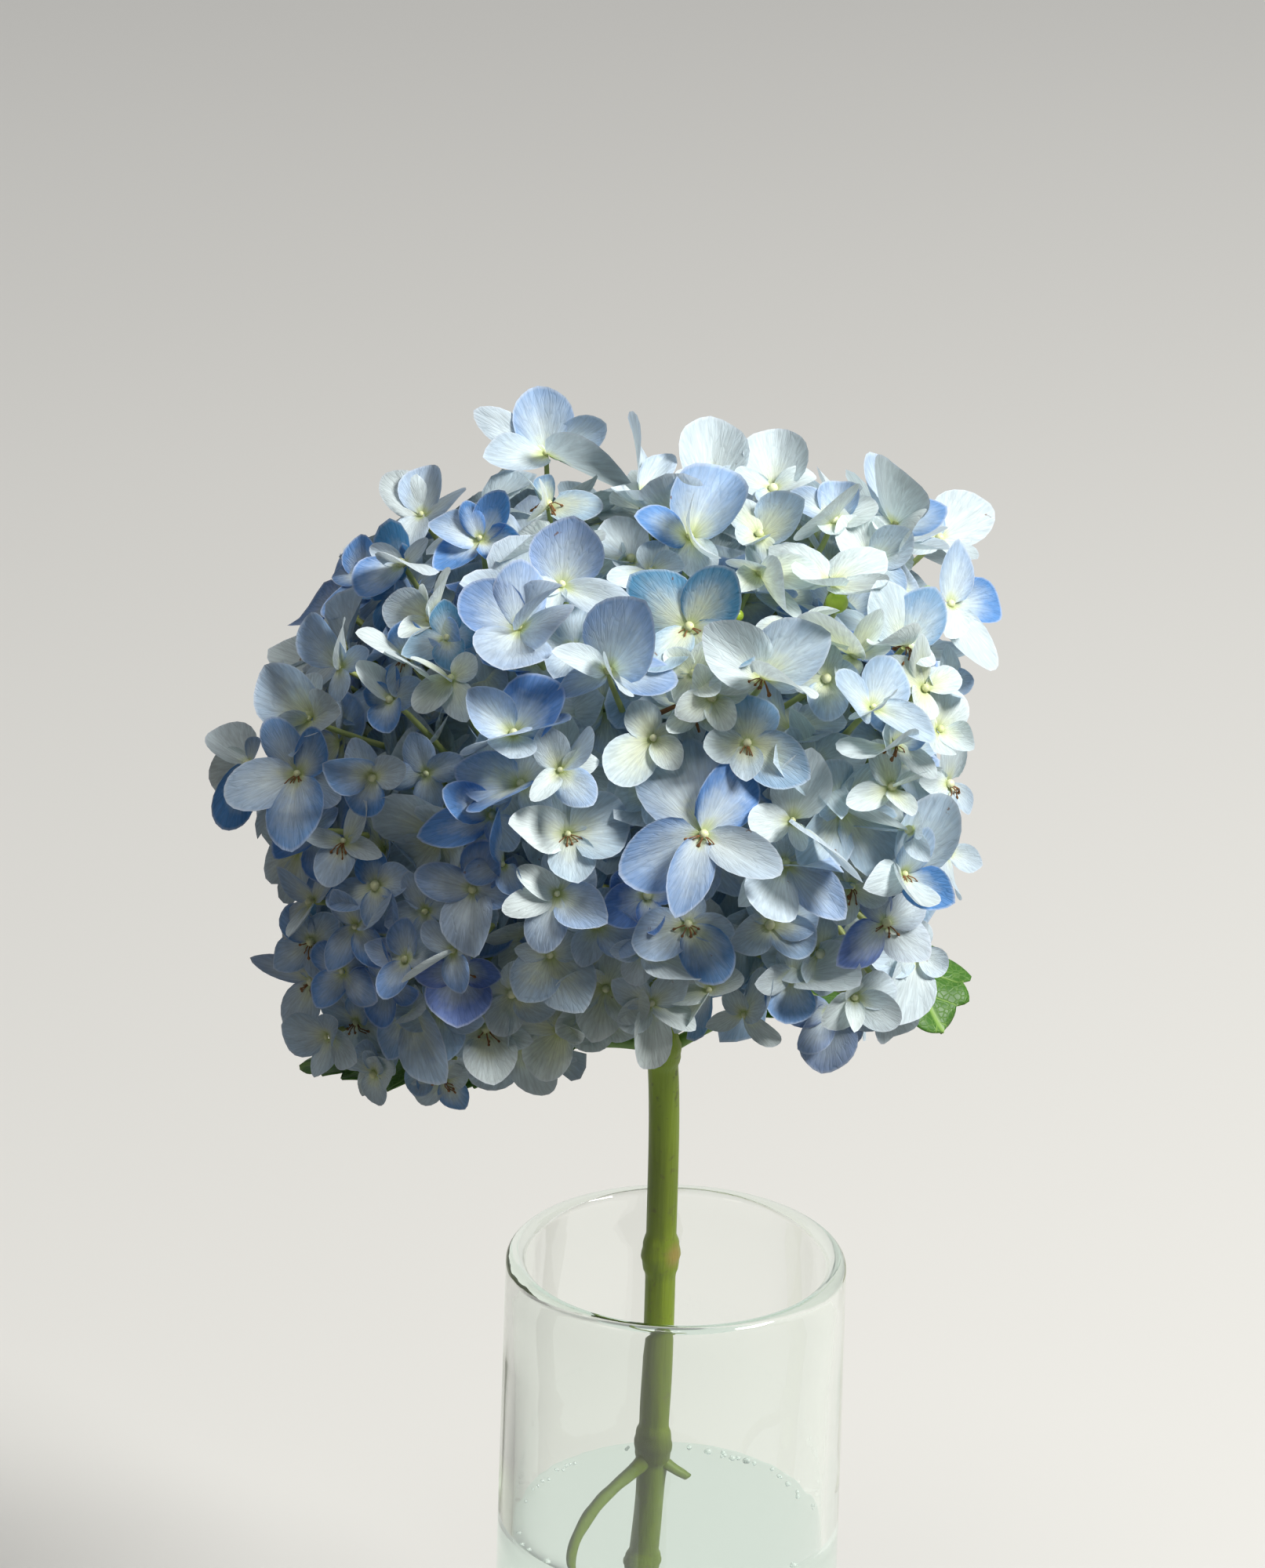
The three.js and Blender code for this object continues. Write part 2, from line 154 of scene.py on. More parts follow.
def show_clear(tree, colour, through_colour, index, **bent):
    """A clear surface. Its shadow ray passes straight through, so that lamps light what stands
    in it, and so does a ray that is caught in the wall: a thick edge would end up black."""
    inputs = {"Color": colour, "Roughness": 0, "IOR": index, **bent}
    clear = add(tree, "ShaderNodeBsdfGlass", inputs)
    through = add(tree, "ShaderNodeBsdfTransparent", {"Color": through_colour})
    ray = add(tree, "ShaderNodeLightPath").outputs
    caught = calc(tree, "GREATER_THAN", ray["Ray Depth"], CAUGHT)
    show(tree, clear, through, calc(tree, "MAXIMUM", ray["Is Shadow Ray"], caught))


def object_from(name, points, faces, material, smooth=True):
    """A mesh object from points and faces, in place and shaded smooth."""
    mesh = bpy.data.meshes.new(name)
    mesh.from_pydata([tuple(point) for point in points], [], faces)
    mesh.materials.append(material)
    mesh.polygons.foreach_set("use_smooth", [smooth] * len(mesh.polygons))
    mesh.update()
    piece = bpy.data.objects.new(name, mesh)
    bpy.context.collection.objects.link(piece)
    return piece


def turned(profile, sides):
    """Points and faces of a profile of (radius, height) that starts and ends on the axis."""
    points = [Vector((0, 0, profile[0][1]))]
    faces = []
    rings = profile[1:-1]
    for radius, height in rings:
        for side in range(sides):
            angle = 2 * math.pi * side / sides
            points.append(Vector((radius * math.cos(angle), radius * math.sin(angle), height)))
    points.append(Vector((0, 0, profile[-1][1])))
    for side in range(sides):
        onward = (side + 1) % sides
        faces.append((0, 1 + onward, 1 + side))
        for ring in range(len(rings) - 1):
            low = 1 + ring * sides
            high = low + sides
            faces.append((low + side, low + onward, high + onward, high + side))
        top = 1 + (len(rings) - 1) * sides
        faces.append((top + side, top + onward, len(points) - 1))
    return points, faces


def arc(radius, height, round_radius, start, end, steps):
    """Points of an arc in the profile plane; the angles are in degrees."""
    angles = [math.radians(start + (end - start) * step / steps) for step in range(steps + 1)]
    return [(radius + round_radius * math.cos(a), height + round_radius * math.sin(a)) for a in angles]


def outer_radius(height):
    return VASE_FOOT_RADIUS + (VASE_RIM_RADIUS - VASE_FOOT_RADIUS) * height / VASE_HEIGHT


def inner_radius(height):
    return outer_radius(height) - VASE_WALL


lip = VASE_LIP / 2
lip_height = VASE_HEIGHT - lip
inner_foot = inner_radius(VASE_BASE + VASE_INNER_ROUND)
vase_profile = [
    (0, HOLLOW),
    (HOLLOW_RADIUS, HOLLOW),
    (STAND_RADIUS, 0),
    *arc(VASE_FOOT_RADIUS - VASE_FOOT_ROUND, VASE_FOOT_ROUND, VASE_FOOT_ROUND, -90, 0, 8),
    *[(outer_radius(height), height) for height in np.linspace(0.02, 0.18, 9)],
    (outer_radius(lip_height - 2 * lip), lip_height - 2 * lip),
    *arc(VASE_RIM_RADIUS - lip, lip_height, lip, 0, 180, 18),
    (inner_radius(lip_height - 2.5 * lip), lip_height - 2.5 * lip),
    *[(inner_radius(height), height) for height in np.linspace(0.17, 0.03, 8)],
    *arc(inner_foot - VASE_INNER_ROUND, VASE_BASE + VASE_INNER_ROUND, VASE_INNER_ROUND, 0, -90, 10),
    (0.02, VASE_BASE + BASE_CROWN / 2),
    (0, VASE_BASE + BASE_CROWN),
]

# Soda-lime glass: clear with the faintest green, and slow waves 2 cm wide in its surface.
glass, tree, place = new_finish("soda_lime_glass")
waves = add(tree, "ShaderNodeMapping", {"Vector": place, "Scale": (50, 50, 9)}).outputs[0]
uneven = bump(tree, noise(tree, waves, 1, 2), 0.12, 0.002)
show_clear(tree, "#fefffe", "#fafdfb", 1.5, Normal=uneven)

vase = object_from("glass_vase", *turned(vase_profile, ROUND_SIDES), glass)
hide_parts("vase")
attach(vase, "root")

# ---- Water --------------------------------------------------------------------------------
# Tap water to 12 cm. It wets the glass, so its skin climbs a little at the wall and round the
# stem, and small air bubbles sit along the waterline.

WATER_LEVEL = 0.121
WETTING = 0.00035  # how far the water's skin is drawn into the glass, so no air shows between
CLIMB, CLIMB_AT_STEM = 0.0021, 0.7
CLIMB_WIDTH = 0.0022
SURFACE_RINGS = 44
STEM_AT_WATER = Vector((-0.0043, 0.0341))
STEM_RADIUS = 0.0041


def skin_height(x, y):
    """The water's height at a place: it climbs at the wall and at the stem."""
    from_wall = inner_radius(WATER_LEVEL) + WETTING - math.hypot(x, y)
    from_stem = math.hypot(x - STEM_AT_WATER.x, y - STEM_AT_WATER.y) - STEM_RADIUS
    climb = math.exp(-max(from_wall, 0) / CLIMB_WIDTH)
    climb += CLIMB_AT_STEM * math.exp(-max(from_stem, 0) / CLIMB_WIDTH)
    return WATER_LEVEL + CLIMB * min(climb, 1)


wet_foot = inner_foot + WETTING
wet_round = VASE_INNER_ROUND + WETTING
wet_bottom = VASE_BASE + BASE_CROWN - WETTING
surface_radius = inner_radius(WATER_LEVEL) + WETTING
surface_shares = [1 - (ring / SURFACE_RINGS) for ring in range(SURFACE_RINGS)]
water_profile = [
    (0, wet_bottom),
    (0.02, wet_bottom - BASE_CROWN / 2),
    *arc(wet_foot - wet_round, wet_bottom + wet_round, wet_round, -90, 0, 10),
    *[(inner_radius(height) + WETTING, height) for height in np.linspace(0.03, 0.115, 7)],
    *[(surface_radius * share, WATER_LEVEL) for share in surface_shares],
    (0, WATER_LEVEL),
]
water_points, water_faces = turned(water_profile, ROUND_SIDES)
for point in water_points:
    if point.z > WATER_LEVEL - 1e-6:
        point.z = skin_height(point.x, point.y)

# Water: index 1.333, the faintest blue-green, and no roughness. Lamps shine through it too.
water_finish, tree, _ = new_finish("tap_water")
show_clear(tree, "#fcffff", "#f8fdfc", 1.333)

water = object_from("vase_water", water_points, water_faces, water_finish)
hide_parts("water")
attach(water, "root")

# ---- Stem ---------------------------------------------------------------------------------
# One green, half-woody stem. It stands on the vase's floor, leans on the back of the rim and
# bends forward into the head. Leaf pairs grew at its four nodes, and one cut leaf stalk and a
# short stump still grow from the node at the waterline.

STEM_NODES = (0.062, 0.1265, 0.183, 0.2455)
NODE_SWELL = 0.0015
NODE_HALF_HEIGHT = 0.006
STALK_THICK, STALK_TAPER = 0.0024, 0.0009
STEM_PATH = [
    (-0.0090, 0.0220, 0.0102),
    (-0.0065, 0.0300, 0.0620),
    (-0.0042, 0.0343, 0.1265),
    (-0.0038, 0.0352, 0.1830),
    (-0.0054, 0.0330, 0.2455),
    (-0.0110, 0.0275, 0.2700),
    (-0.0170, 0.0220, 0.2910),
]
SIDE_STALK_PATH = [
    (-0.0045, 0.0340, 0.1250),
    (-0.0110, 0.0290, 0.1170),
    (-0.0190, 0.0200, 0.1090),
    (-0.0250, 0.0090, 0.0970),
    (-0.0270, 0.0010, 0.0820),
]
STUMP_PATH = [(-0.0042, 0.0340, 0.1240), (0.0010, 0.0326, 0.1192), (0.0055, 0.0310, 0.1150)]
SCAR = (0.0012, 0.0318, 0.1838)
CURVE_STEPS = 24  # from one corner of a smooth path to the next, before they are spaced evenly


def draw(index, purpose):
    """A number from 0 to 1 that is always the same for the same piece and purpose."""
    value = math.sin(index * 12.9898 + purpose * 78.233) * 43758.5453
    return value - math.floor(value)


def between(low, high, index, purpose):
    return low + (high - low) * draw(index, purpose)


def smooth_path(corners, steps):
    """Evenly spaced points on a centripetal Catmull-Rom curve through the corners."""
    known = [Vector(corner) for corner in corners]
    known = [2 * known[0] - known[1], *known, 2 * known[-1] - known[-2]]
    dense = []
    for before, start, end, after in zip(known, known[1:], known[2:], known[3:]):
        knots = [0]
        for near, far in ((before, start), (start, end), (end, after)):
            knots.append(knots[-1] + (far - near).length ** 0.5)
        for step in range(CURVE_STEPS):
            at = knots[1] + (knots[2] - knots[1]) * step / CURVE_STEPS
            first = before.lerp(start, (at - knots[0]) / (knots[1] - knots[0]))
            second = start.lerp(end, (at - knots[1]) / (knots[2] - knots[1]))
            third = end.lerp(after, (at - knots[2]) / (knots[3] - knots[2]))
            inner = first.lerp(second, (at - knots[0]) / (knots[2] - knots[0]))
            outer = second.lerp(third, (at - knots[1]) / (knots[3] - knots[1]))
            dense.append(inner.lerp(outer, (at - knots[1]) / (knots[2] - knots[1])))
    dense.append(known[-2])
    run = np.concatenate([[0], np.cumsum([(b - a).length for a, b in zip(dense, dense[1:])])])
    wanted = np.linspace(0, run[-1], steps + 1)
    columns = [np.interp(wanted, run, [point[axis] for point in dense]) for axis in range(3)]
    return [Vector(place) for place in zip(*columns)]


def tube(path, radius_at, sides):
    """Points and faces of a closed tube along a path. The radius may depend on place and turn."""
    points, faces = [], []
    side_axis = None
    for index, centre in enumerate(path):
        ahead_point = path[min(index + 1, len(path) - 1)]
        behind_point = path[max(index - 1, 0)]
        run = (ahead_point - behind_point).normalized()
        if side_axis is None:
            side_axis = run.orthogonal()
        side_axis = (side_axis - side_axis.dot(run) * run).normalized()
        other_axis = run.cross(side_axis)
        for side in range(sides):
            turn = 2 * math.pi * side / sides
            outward = math.cos(turn) * side_axis + math.sin(turn) * other_axis
            points.append(centre + radius_at(index / (len(path) - 1), centre, turn) * outward)
    for index in range(len(path) - 1):
        for side in range(sides):
            low = index * sides + side
            onward = index * sides + (side + 1) % sides
            faces.append((low, onward, onward + sides, low + sides))
    faces.append(tuple(reversed(range(sides))))
    faces.append(tuple(range(len(points) - sides, len(points))))
    return points, faces


def stem_radius(along, centre, turn):
    """The stem is faintly six-ridged and stands out at its nodes, most where the leaves grew."""
    swell = 0
    for number, height in enumerate(STEM_NODES):
        distance = abs(centre.z - height) / NODE_HALF_HEIGHT
        if distance < 1:
            lobes = 0.75 + 0.35 * math.cos(2 * (turn + number * math.pi / 2))
            ring = 0.12 * math.cos(9 * distance)
            swell += NODE_SWELL * (1 - distance**2) * (lobes + ring)
    return STEM_RADIUS * (1 + 0.012 * math.cos(6 * turn)) + swell


def stalk_radius(along, centre, turn):
    return STALK_THICK - STALK_TAPER * along + 0.00008 * math.cos(5 * turn)


def shifted(faces, first):
    """Faces whose points start at the first place of a longer list."""
    return [tuple(corner + first for corner in face) for face in faces]


def mix(tree, share, low, high):
    """The colour at a share of the way from one colour to another."""
    return add(tree, "ShaderNodeMix", {0: share, 6: low, 7: high}, data_type="RGBA").outputs[2]


def ramp(tree, value, start, end, low, high, smooth=False):
    """A value that goes from low to high as another goes from start to end."""
    inputs = {0: value, 1: start, 2: end, 3: low, 4: high}
    kind = "SMOOTHSTEP" if smooth else "LINEAR"
    return add(tree, "ShaderNodeMapRange", inputs, interpolation_type=kind).outputs[0]


stem_points, stem_faces = [], []
for path, radius_at, sides in (
    (smooth_path(STEM_PATH, 220), stem_radius, 36),
    (smooth_path(SIDE_STALK_PATH, 40), stalk_radius, 16),
    (smooth_path(STUMP_PATH, 10), stalk_radius, 16),
):
    some_points, some_faces = tube(path, radius_at, sides)
    stem_faces += shifted(some_faces, len(stem_points))
    stem_points += some_points

# Green, half-woody hydrangea stem: waxy, with fine streaks along it, brown at the old leaf
# scar, darker at the nodes and yellow-green where it is young, just under the head.
stem_finish, tree, place = new_finish("half_woody_green_stem")
streak_place = add(tree, "ShaderNodeMapping", {"Vector": place, "Scale": (900, 900, 55)}).outputs[0]
streaks = noise(tree, streak_place, 1, 4)
height = add(tree, "ShaderNodeSeparateXYZ", {0: place}).outputs[2]
green = mix(tree, streaks, "#4a5a02", "#6a7a08")
green = mix(tree, ramp(tree, height, 0.20, 0.252, 0, 1, smooth=True), green, "#8fa91f")
green = mix(tree, ramp(tree, noise(tree, place, 420, 3), 0.6, 0.74, 0, 0.6), green, "#4c4a1e")
to_scar = add(tree, "ShaderNodeVectorMath", {0: place, 1: SCAR}, operation="DISTANCE").outputs[1]
green = mix(tree, ramp(tree, to_scar, 0.0048, 0.0018, 0, 0.8), green, "#7d6a32")
to_node = calc(tree, "ABSOLUTE", calc(tree, "SUBTRACT", height, STEM_NODES[1]))
green = mix(tree, ramp(tree, to_node, 0.006, 0.001, 0, 0.55), green, "#3c4418")
skin = {
    "Base Color": green,
    "Roughness": 0.46,
    "Subsurface Weight": 0.12,
    "Subsurface Radius": (0.6, 1.0, 0.3),
    "Subsurface Scale": 0.0015,
    "Normal": bump(tree, streaks, 0.35, 0.0006),
}
show(tree, add(tree, "ShaderNodeBsdfPrincipled", skin))

stem = object_from("green_stem", stem_points, stem_faces, stem_finish)
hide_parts("stem")
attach(stem, "root")

# ---- Leaves -------------------------------------------------------------------------------
# The pair of leaves at the node under the head. Each is a toothed, quilted blade 0.45 mm
# thick on a short stalk: the side veins are sunk into it and curve towards the tip. The two
# are copies of one green: the left is painted darker, as painted shade, the right lighter, as
# painted light.

LEAF_TEETH = 13
ROWS_PER_TOOTH = 6
LEAF_COLUMNS = 12
LEAF_FOLD = math.radians(8)
TOOTH, TOOTH_PEAK = 0.0026, 0.75  # its height, and how far along it its point lies
LEAF_THICKNESS = 0.00045
VEIN_SPACING = 0.0092
VEIN_SLANT = 0.85
QUILT, QUILT_LEVEL, QUILT_START = 0.0007, 0.6, 0.003  # it starts this far from the midrib
RUFFLE = 0.0012
PETIOLE_RADIUS = 0.0017
RIB_SINK = 0.0006  # the midrib's middle lies this much under the blade


def leaf_blade(midrib_corners, half_width, fold, lean):
    """Rows of points over the blade, and where each lies along and across it in metres."""
    rows = LEAF_TEETH * ROWS_PER_TOOTH
    midrib = smooth_path(midrib_corners, rows)
    length = sum((b - a).length for a, b in zip(midrib, midrib[1:]))
    points, places, faces = [], [], []
    for row in range(rows + 1):
        along = row / rows
        run = (midrib[min(row + 1, rows)] - midrib[max(row - 1, 0)]).normalized()
        sideways = Vector((0, 0, 1)).cross(run).normalized()
        rise = run.cross(sideways)
        phase = (row % ROWS_PER_TOOTH) / ROWS_PER_TOOTH
        tooth = TOOTH * (phase / TOOTH_PEAK if phase < TOOTH_PEAK else (1 - phase) / (1 - TOOTH_PEAK))
        inside = min(8 * min(along, 1 - along), 1)
        width = half_width * max(math.sin(math.pi * along**0.8), 0) ** 0.75
        for column in range(-LEAF_COLUMNS, LEAF_COLUMNS + 1):
            share = column / LEAF_COLUMNS
            margin = tooth * inside * abs(share) ** 6
            across = share * width + math.copysign(margin, share)
            slope = fold + math.copysign(1, share) * lean
            vein = (along * length - VEIN_SLANT * abs(across)) / VEIN_SPACING
            quilt = QUILT * (abs(math.sin(math.pi * vein)) ** 0.6 - QUILT_LEVEL)
            quilt *= min(abs(across) / QUILT_START, 1)
            ruffle = RUFFLE * abs(share) ** 3 * math.sin(along * 21 + 2.5 * share)
            lift = abs(across) * math.sin(slope) + quilt * inside + ruffle
            aside = across * math.cos(slope) * sideways
            points.append(midrib[row] + aside + lift * rise + margin * run)
            places.append((across, along * length))
    wide = 2 * LEAF_COLUMNS + 1
    for row in range(rows):
        for column in range(wide - 1):
            low = row * wide + column
            faces.append((low, low + wide, low + wide + 1, low + 1))
    return points, places, faces


def leaf_finish(name, blade_colour, vein_colour, back_glow):
    """A thin, waxy hydrangea leaf: pale sunk veins, mottled green, and light shining through."""
    material, tree, place = new_finish(name)
    uv = add(tree, "ShaderNodeUVMap", uv_map="blade").outputs[0]
    parts = add(tree, "ShaderNodeSeparateXYZ", {0: uv}).outputs
    aside = calc(tree, "ABSOLUTE", parts[0])
    behind = calc(tree, "SUBTRACT", parts[1], calc(tree, "MULTIPLY", aside, VEIN_SLANT))
    swing = calc(tree, "SINE", calc(tree, "MULTIPLY", behind, math.pi / VEIN_SPACING))
    side_vein = ramp(tree, calc(tree, "ABSOLUTE", swing), 0.16, 0.02, 0, 1)
    rib = ramp(tree, aside, 0.0013, 0.0005, 0, 1)
    cell_inputs = {"Vector": place, "Scale": 620}
    cells = add(tree, "ShaderNodeTexVoronoi", cell_inputs, feature="DISTANCE_TO_EDGE").outputs[0]
    net = ramp(tree, cells, 0.0, 0.12, 0.35, 0)
    veins = calc(tree, "MAXIMUM", calc(tree, "MAXIMUM", side_vein, rib), net)
    darker = add(tree, "ShaderNodeHueSaturation", {"Value": 0.62, "Color": blade_colour}).outputs[0]
    blade = mix(tree, noise(tree, place, 90, 4), darker, blade_colour)
    veined = mix(tree, veins, blade, vein_colour)
    relief = bump(tree, veins, 0.5, 0.0004, invert=True)
    wax = {"Base Color": veined, "Roughness": 0.42, "Normal": relief}
    glow = add(tree, "ShaderNodeBsdfTranslucent", {"Color": mix(tree, 0.55, veined, "#a8d243")})
    show(tree, add(tree, "ShaderNodeBsdfPrincipled", wax), glow, back_glow)
    return material


def rib_radius(along, centre, turn):
    return PETIOLE_RADIUS * (1.1 - 0.85 * along)


def name_uv(piece, name, places):
    """A UV map with one place for each point of the mesh."""
    layer = piece.data.uv_layers.new(name=name)
    corners = np.zeros(len(piece.data.loops), np.int32)
    piece.data.loops.foreach_get("vertex_index", corners)
    layer.data.foreach_set("uv", np.array(places, np.float32)[corners].ravel())


# The right leaf's lighter green is painted light, and the left leaf's darker green is painted shade.
for name, stalk, midrib, half_width, lean, finish in (
    (
        "leaf_right",
        [(-0.0013, 0.0350, 0.2460), (0.0080, 0.0420, 0.2485)],
        [(0.016, 0.048, 0.250), (0.038, 0.061, 0.254), (0.060, 0.065, 0.254), (0.071, 0.057, 0.241)],
        0.027,
        0,
        leaf_finish("green_leaf_painted_lighter", "#568f34", "#9cc266", 0.45),
    ),
    (
        "leaf_left",
        [(-0.0097, 0.0317, 0.2470), (-0.0190, 0.0280, 0.2490)],
        [(-0.027, 0.026, 0.249), (-0.052, 0.024, 0.247), (-0.078, 0.022, 0.245), (-0.101, 0.020, 0.2425)],
        0.016,
        math.radians(-15),
        leaf_finish("green_leaf_painted_shade", "#3f6f28", "#7ea356", 0.35),
    ),
):
    points, places, faces = leaf_blade(midrib, half_width, LEAF_FOLD, lean)
    piece = object_from(name + "_blade", points, faces, finish)
    name_uv(piece, "blade", places)
    thickness = piece.modifiers.new("blade_thickness", "SOLIDIFY")
    thickness.thickness = LEAF_THICKNESS
    thickness.offset = -1
    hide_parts(name)
    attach(piece, "root")
    rib_middle = smooth_path([*stalk, midrib[1], midrib[2]], 40)
    rib_path = [point - Vector((0, 0, RIB_SINK)) for point in rib_middle]
    rib_points, rib_faces = tube(rib_path, rib_radius, 12)
    rib = object_from(name + "_stalk", rib_points, rib_faces, finish)
    name_uv(rib, "blade", [(0, 0)] * len(rib_points))
    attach(rib, "root")

# ---- Florets ------------------------------------------------------------------------------
# The head is a dense ball of sterile florets. Each has four or five thin, veined sepals round a
# small bead. The ones that the picture shows are set where it shows them, each sepal by its
# own turn and length, and the rest of the ball follows the head's form.

HEAD_CENTRE = Vector((-0.018, 0.018, 0.335))
HEAD_REACH = Vector((0.093, 0.093, 0.078))
HEAD_FULLNESS = 2.8
HEAD_LEAN = 0.0145
BULGE_HEIGHT = 0.009
BULGE_SIDE = Vector((-1, -0.15, -0.06)).normalized()
BULGE_SPREAD = 0.06
FLORET_DEPTH = 0.006

SEPAL_FAN = math.radians(74)
CLAW_WIDTH = 0.0009
CLAW_START = 0.0006  # from the floret's middle
SEEN_ASIDE = 0.5  # a sepal that looks narrower than this is a broad one, turned on its midrib
FULL_BREADTH = 0.85
SEPAL_FLOAT, SEPAL_STEP = 0.0004, 0.0002  # the outer pair of sepals lies over the inner pair


def head_bulge(direction):
    return BULGE_HEIGHT * math.exp((direction.dot(BULGE_SIDE) - 1) / BULGE_SPREAD) * BULGE_SIDE


def on_head(direction, depth):
    """The place in a direction from the head's centre, at a depth under the sepal tips."""
    total = sum(abs(part) ** HEAD_FULLNESS for part in direction)
    share = direction * total ** (-1 / HEAD_FULLNESS)
    place = Vector([part * (reach - depth) for part, reach in zip(share, HEAD_REACH)])
    place.x += HEAD_LEAN * share.z
    return HEAD_CENTRE + place + head_bulge(direction)


def head_level(place, depth):
    """Under 1 inside the head's form at that depth, and over 1 outside it."""
    offset = place - HEAD_CENTRE
    offset = offset - head_bulge(offset.normalized())
    offset.x -= HEAD_LEAN * offset.z / (HEAD_REACH.z - depth)
    parts = [abs(part) / (reach - depth) for part, reach in zip(offset, HEAD_REACH)]
    return sum(part**HEAD_FULLNESS for part in parts)


def seen_at(across, up, depth):
    """Where the line of sight through a place in the picture first meets the head's form. The
    place is in millimetres, and so is the depth beyond that of a floret's middle."""
    aim = (HEAD_CENTRE + 0.001 * across * view_right + 0.001 * up * view_up - EYE).normalized()
    middle = (HEAD_CENTRE - EYE).length
    nearest = None
    for step in range(-130, 60):
        place = EYE + (middle + step * 0.001) * aim
        level = head_level(place, FLORET_DEPTH + 0.001 * depth)
        if level <= 1:
            return place
        if nearest is None or level < nearest[0]:
            nearest = (level, place)
    return nearest[1]


def outward_at(direction):
    """The way a floret faces: between square to the head's form and straight out."""
    steepness = [abs(part) ** (HEAD_FULLNESS - 1) / reach for part, reach in zip(direction, HEAD_REACH)]
    square = Vector([math.copysign(steep, part) for steep, part in zip(steepness, direction)]).normalized()
    return (square + direction).normalized()


def arch_of(seed):
    """How far a sepal bends back (below zero) or forward along its length, in radians."""
    return between(-0.85, 0.55, seed, 20) or 0.01


def sepal_seed(floret_seed, number):
    return floret_seed + 0.37 * number


def sepal(length, breadth, pitch, roll, seed, rows, columns):
    """One sepal: points from its claw to its margin, x outwards and z to the floret's front."""
    across = np.linspace(-1, 1, columns + 1)[None, :]
    along = np.linspace(0, 1, rows + 1)[:, None] ** 0.9
    turn = across * SEPAL_FAN
    tip = between(-0.01, 0.12, seed, 11) * np.exp(-((turn / 0.2) ** 2))
    uneven = between(-0.05, 0.05, seed, 12) * np.sin(turn * 2.3 + 6 * draw(seed, 13))
    margin = length * (np.cos(turn) ** between(0.62, 1.15, seed, 21) + tip + uneven)
    half = 0.5 * length * breadth
    run = margin * along * np.cos(turn)
    wide = margin * along * np.sin(turn) * breadth + CLAW_WIDTH * across * (1 - along)
    share = wide / half
    lift = half * between(-0.2, 0.45, seed, 14) * share**2
    lift = lift + half * between(0.0, 0.28, seed, 15) * np.abs(share)
    waves = along**2 * np.sin(4 * turn + 7 * draw(seed, 17))
    lift = lift + length * between(0.008, 0.035, seed, 16) * waves
    lift = lift + length * between(-0.06, 0.05, seed, 18) * along**6
    twist = roll + between(-0.35, 0.35, seed, 19) * run / length
    wide, lift = wide * np.cos(twist) - lift * np.sin(twist), wide * np.sin(twist) + lift * np.cos(twist)
    arch = arch_of(seed)
    slope = pitch + arch * run / length
    out = length / arch * (np.sin(slope) - math.sin(pitch)) - lift * np.sin(slope)
    rise = length / arch * (math.cos(pitch) - np.cos(slope)) + lift * np.cos(slope)
    points = np.stack([out + CLAW_START, wide, rise], axis=-1).reshape(-1, 3)
    sideways = np.broadcast_to(across * 0.5 + 0.5, run.shape)
    places = np.stack([sideways, np.broadcast_to(along, run.shape)], axis=-1).reshape(-1, 2)
    return points, places


def sepal_faces(first, rows, columns):
    faces = []
    for row in range(rows):
        for column in range(columns):
            low = first + row * (columns + 1) + column
            high = low + columns + 1
            faces.append((low, high, high + 1, low + 1))
    return faces


def floret(sepals, seed, rows, columns):
    """One floret's sepals: each is (turn, length, breadth, pitch, blue), in degrees and metres.
    Returns the points, their places on the sepals, the faces, and each point's blue and share."""
    points, places, faces, blues, shares = [], [], [], [], []
    for number, (turn, length, breadth, pitch, blue) in enumerate(sepals):
        roll = 0
        if breadth < SEEN_ASIDE:
            roll = -math.copysign(math.acos(breadth / FULL_BREADTH), math.cos(math.radians(turn)))
            breadth = FULL_BREADTH
        own_seed = sepal_seed(seed, number)
        flat, place = sepal(length, breadth, math.radians(pitch), roll, own_seed, rows, columns)
        flat[:, 2] += SEPAL_FLOAT * (number % 2) + SEPAL_STEP * number
        spin = np.array(Matrix.Rotation(math.radians(turn), 3, "Z"))
        faces += sepal_faces(len(points) * len(flat), rows, columns)
        points.append(flat @ spin.T)
        places.append(place)
        blues.append(np.full(len(flat), blue))
        shares.append(np.full(len(flat), draw(seed, 40 + number)))
    joined = [np.concatenate(values) for values in (points, places, blues, shares)]
    return joined[0], joined[1], faces, joined[2], joined[3]


def store(mesh, name, values, kind="FLOAT"):
    """A named attribute with one value for each point."""
    attribute = mesh.attributes.new(name, kind, "POINT")
    key = "vector" if kind == "FLOAT_VECTOR" else "value"
    attribute.data.foreach_set(key, np.array(values).ravel())


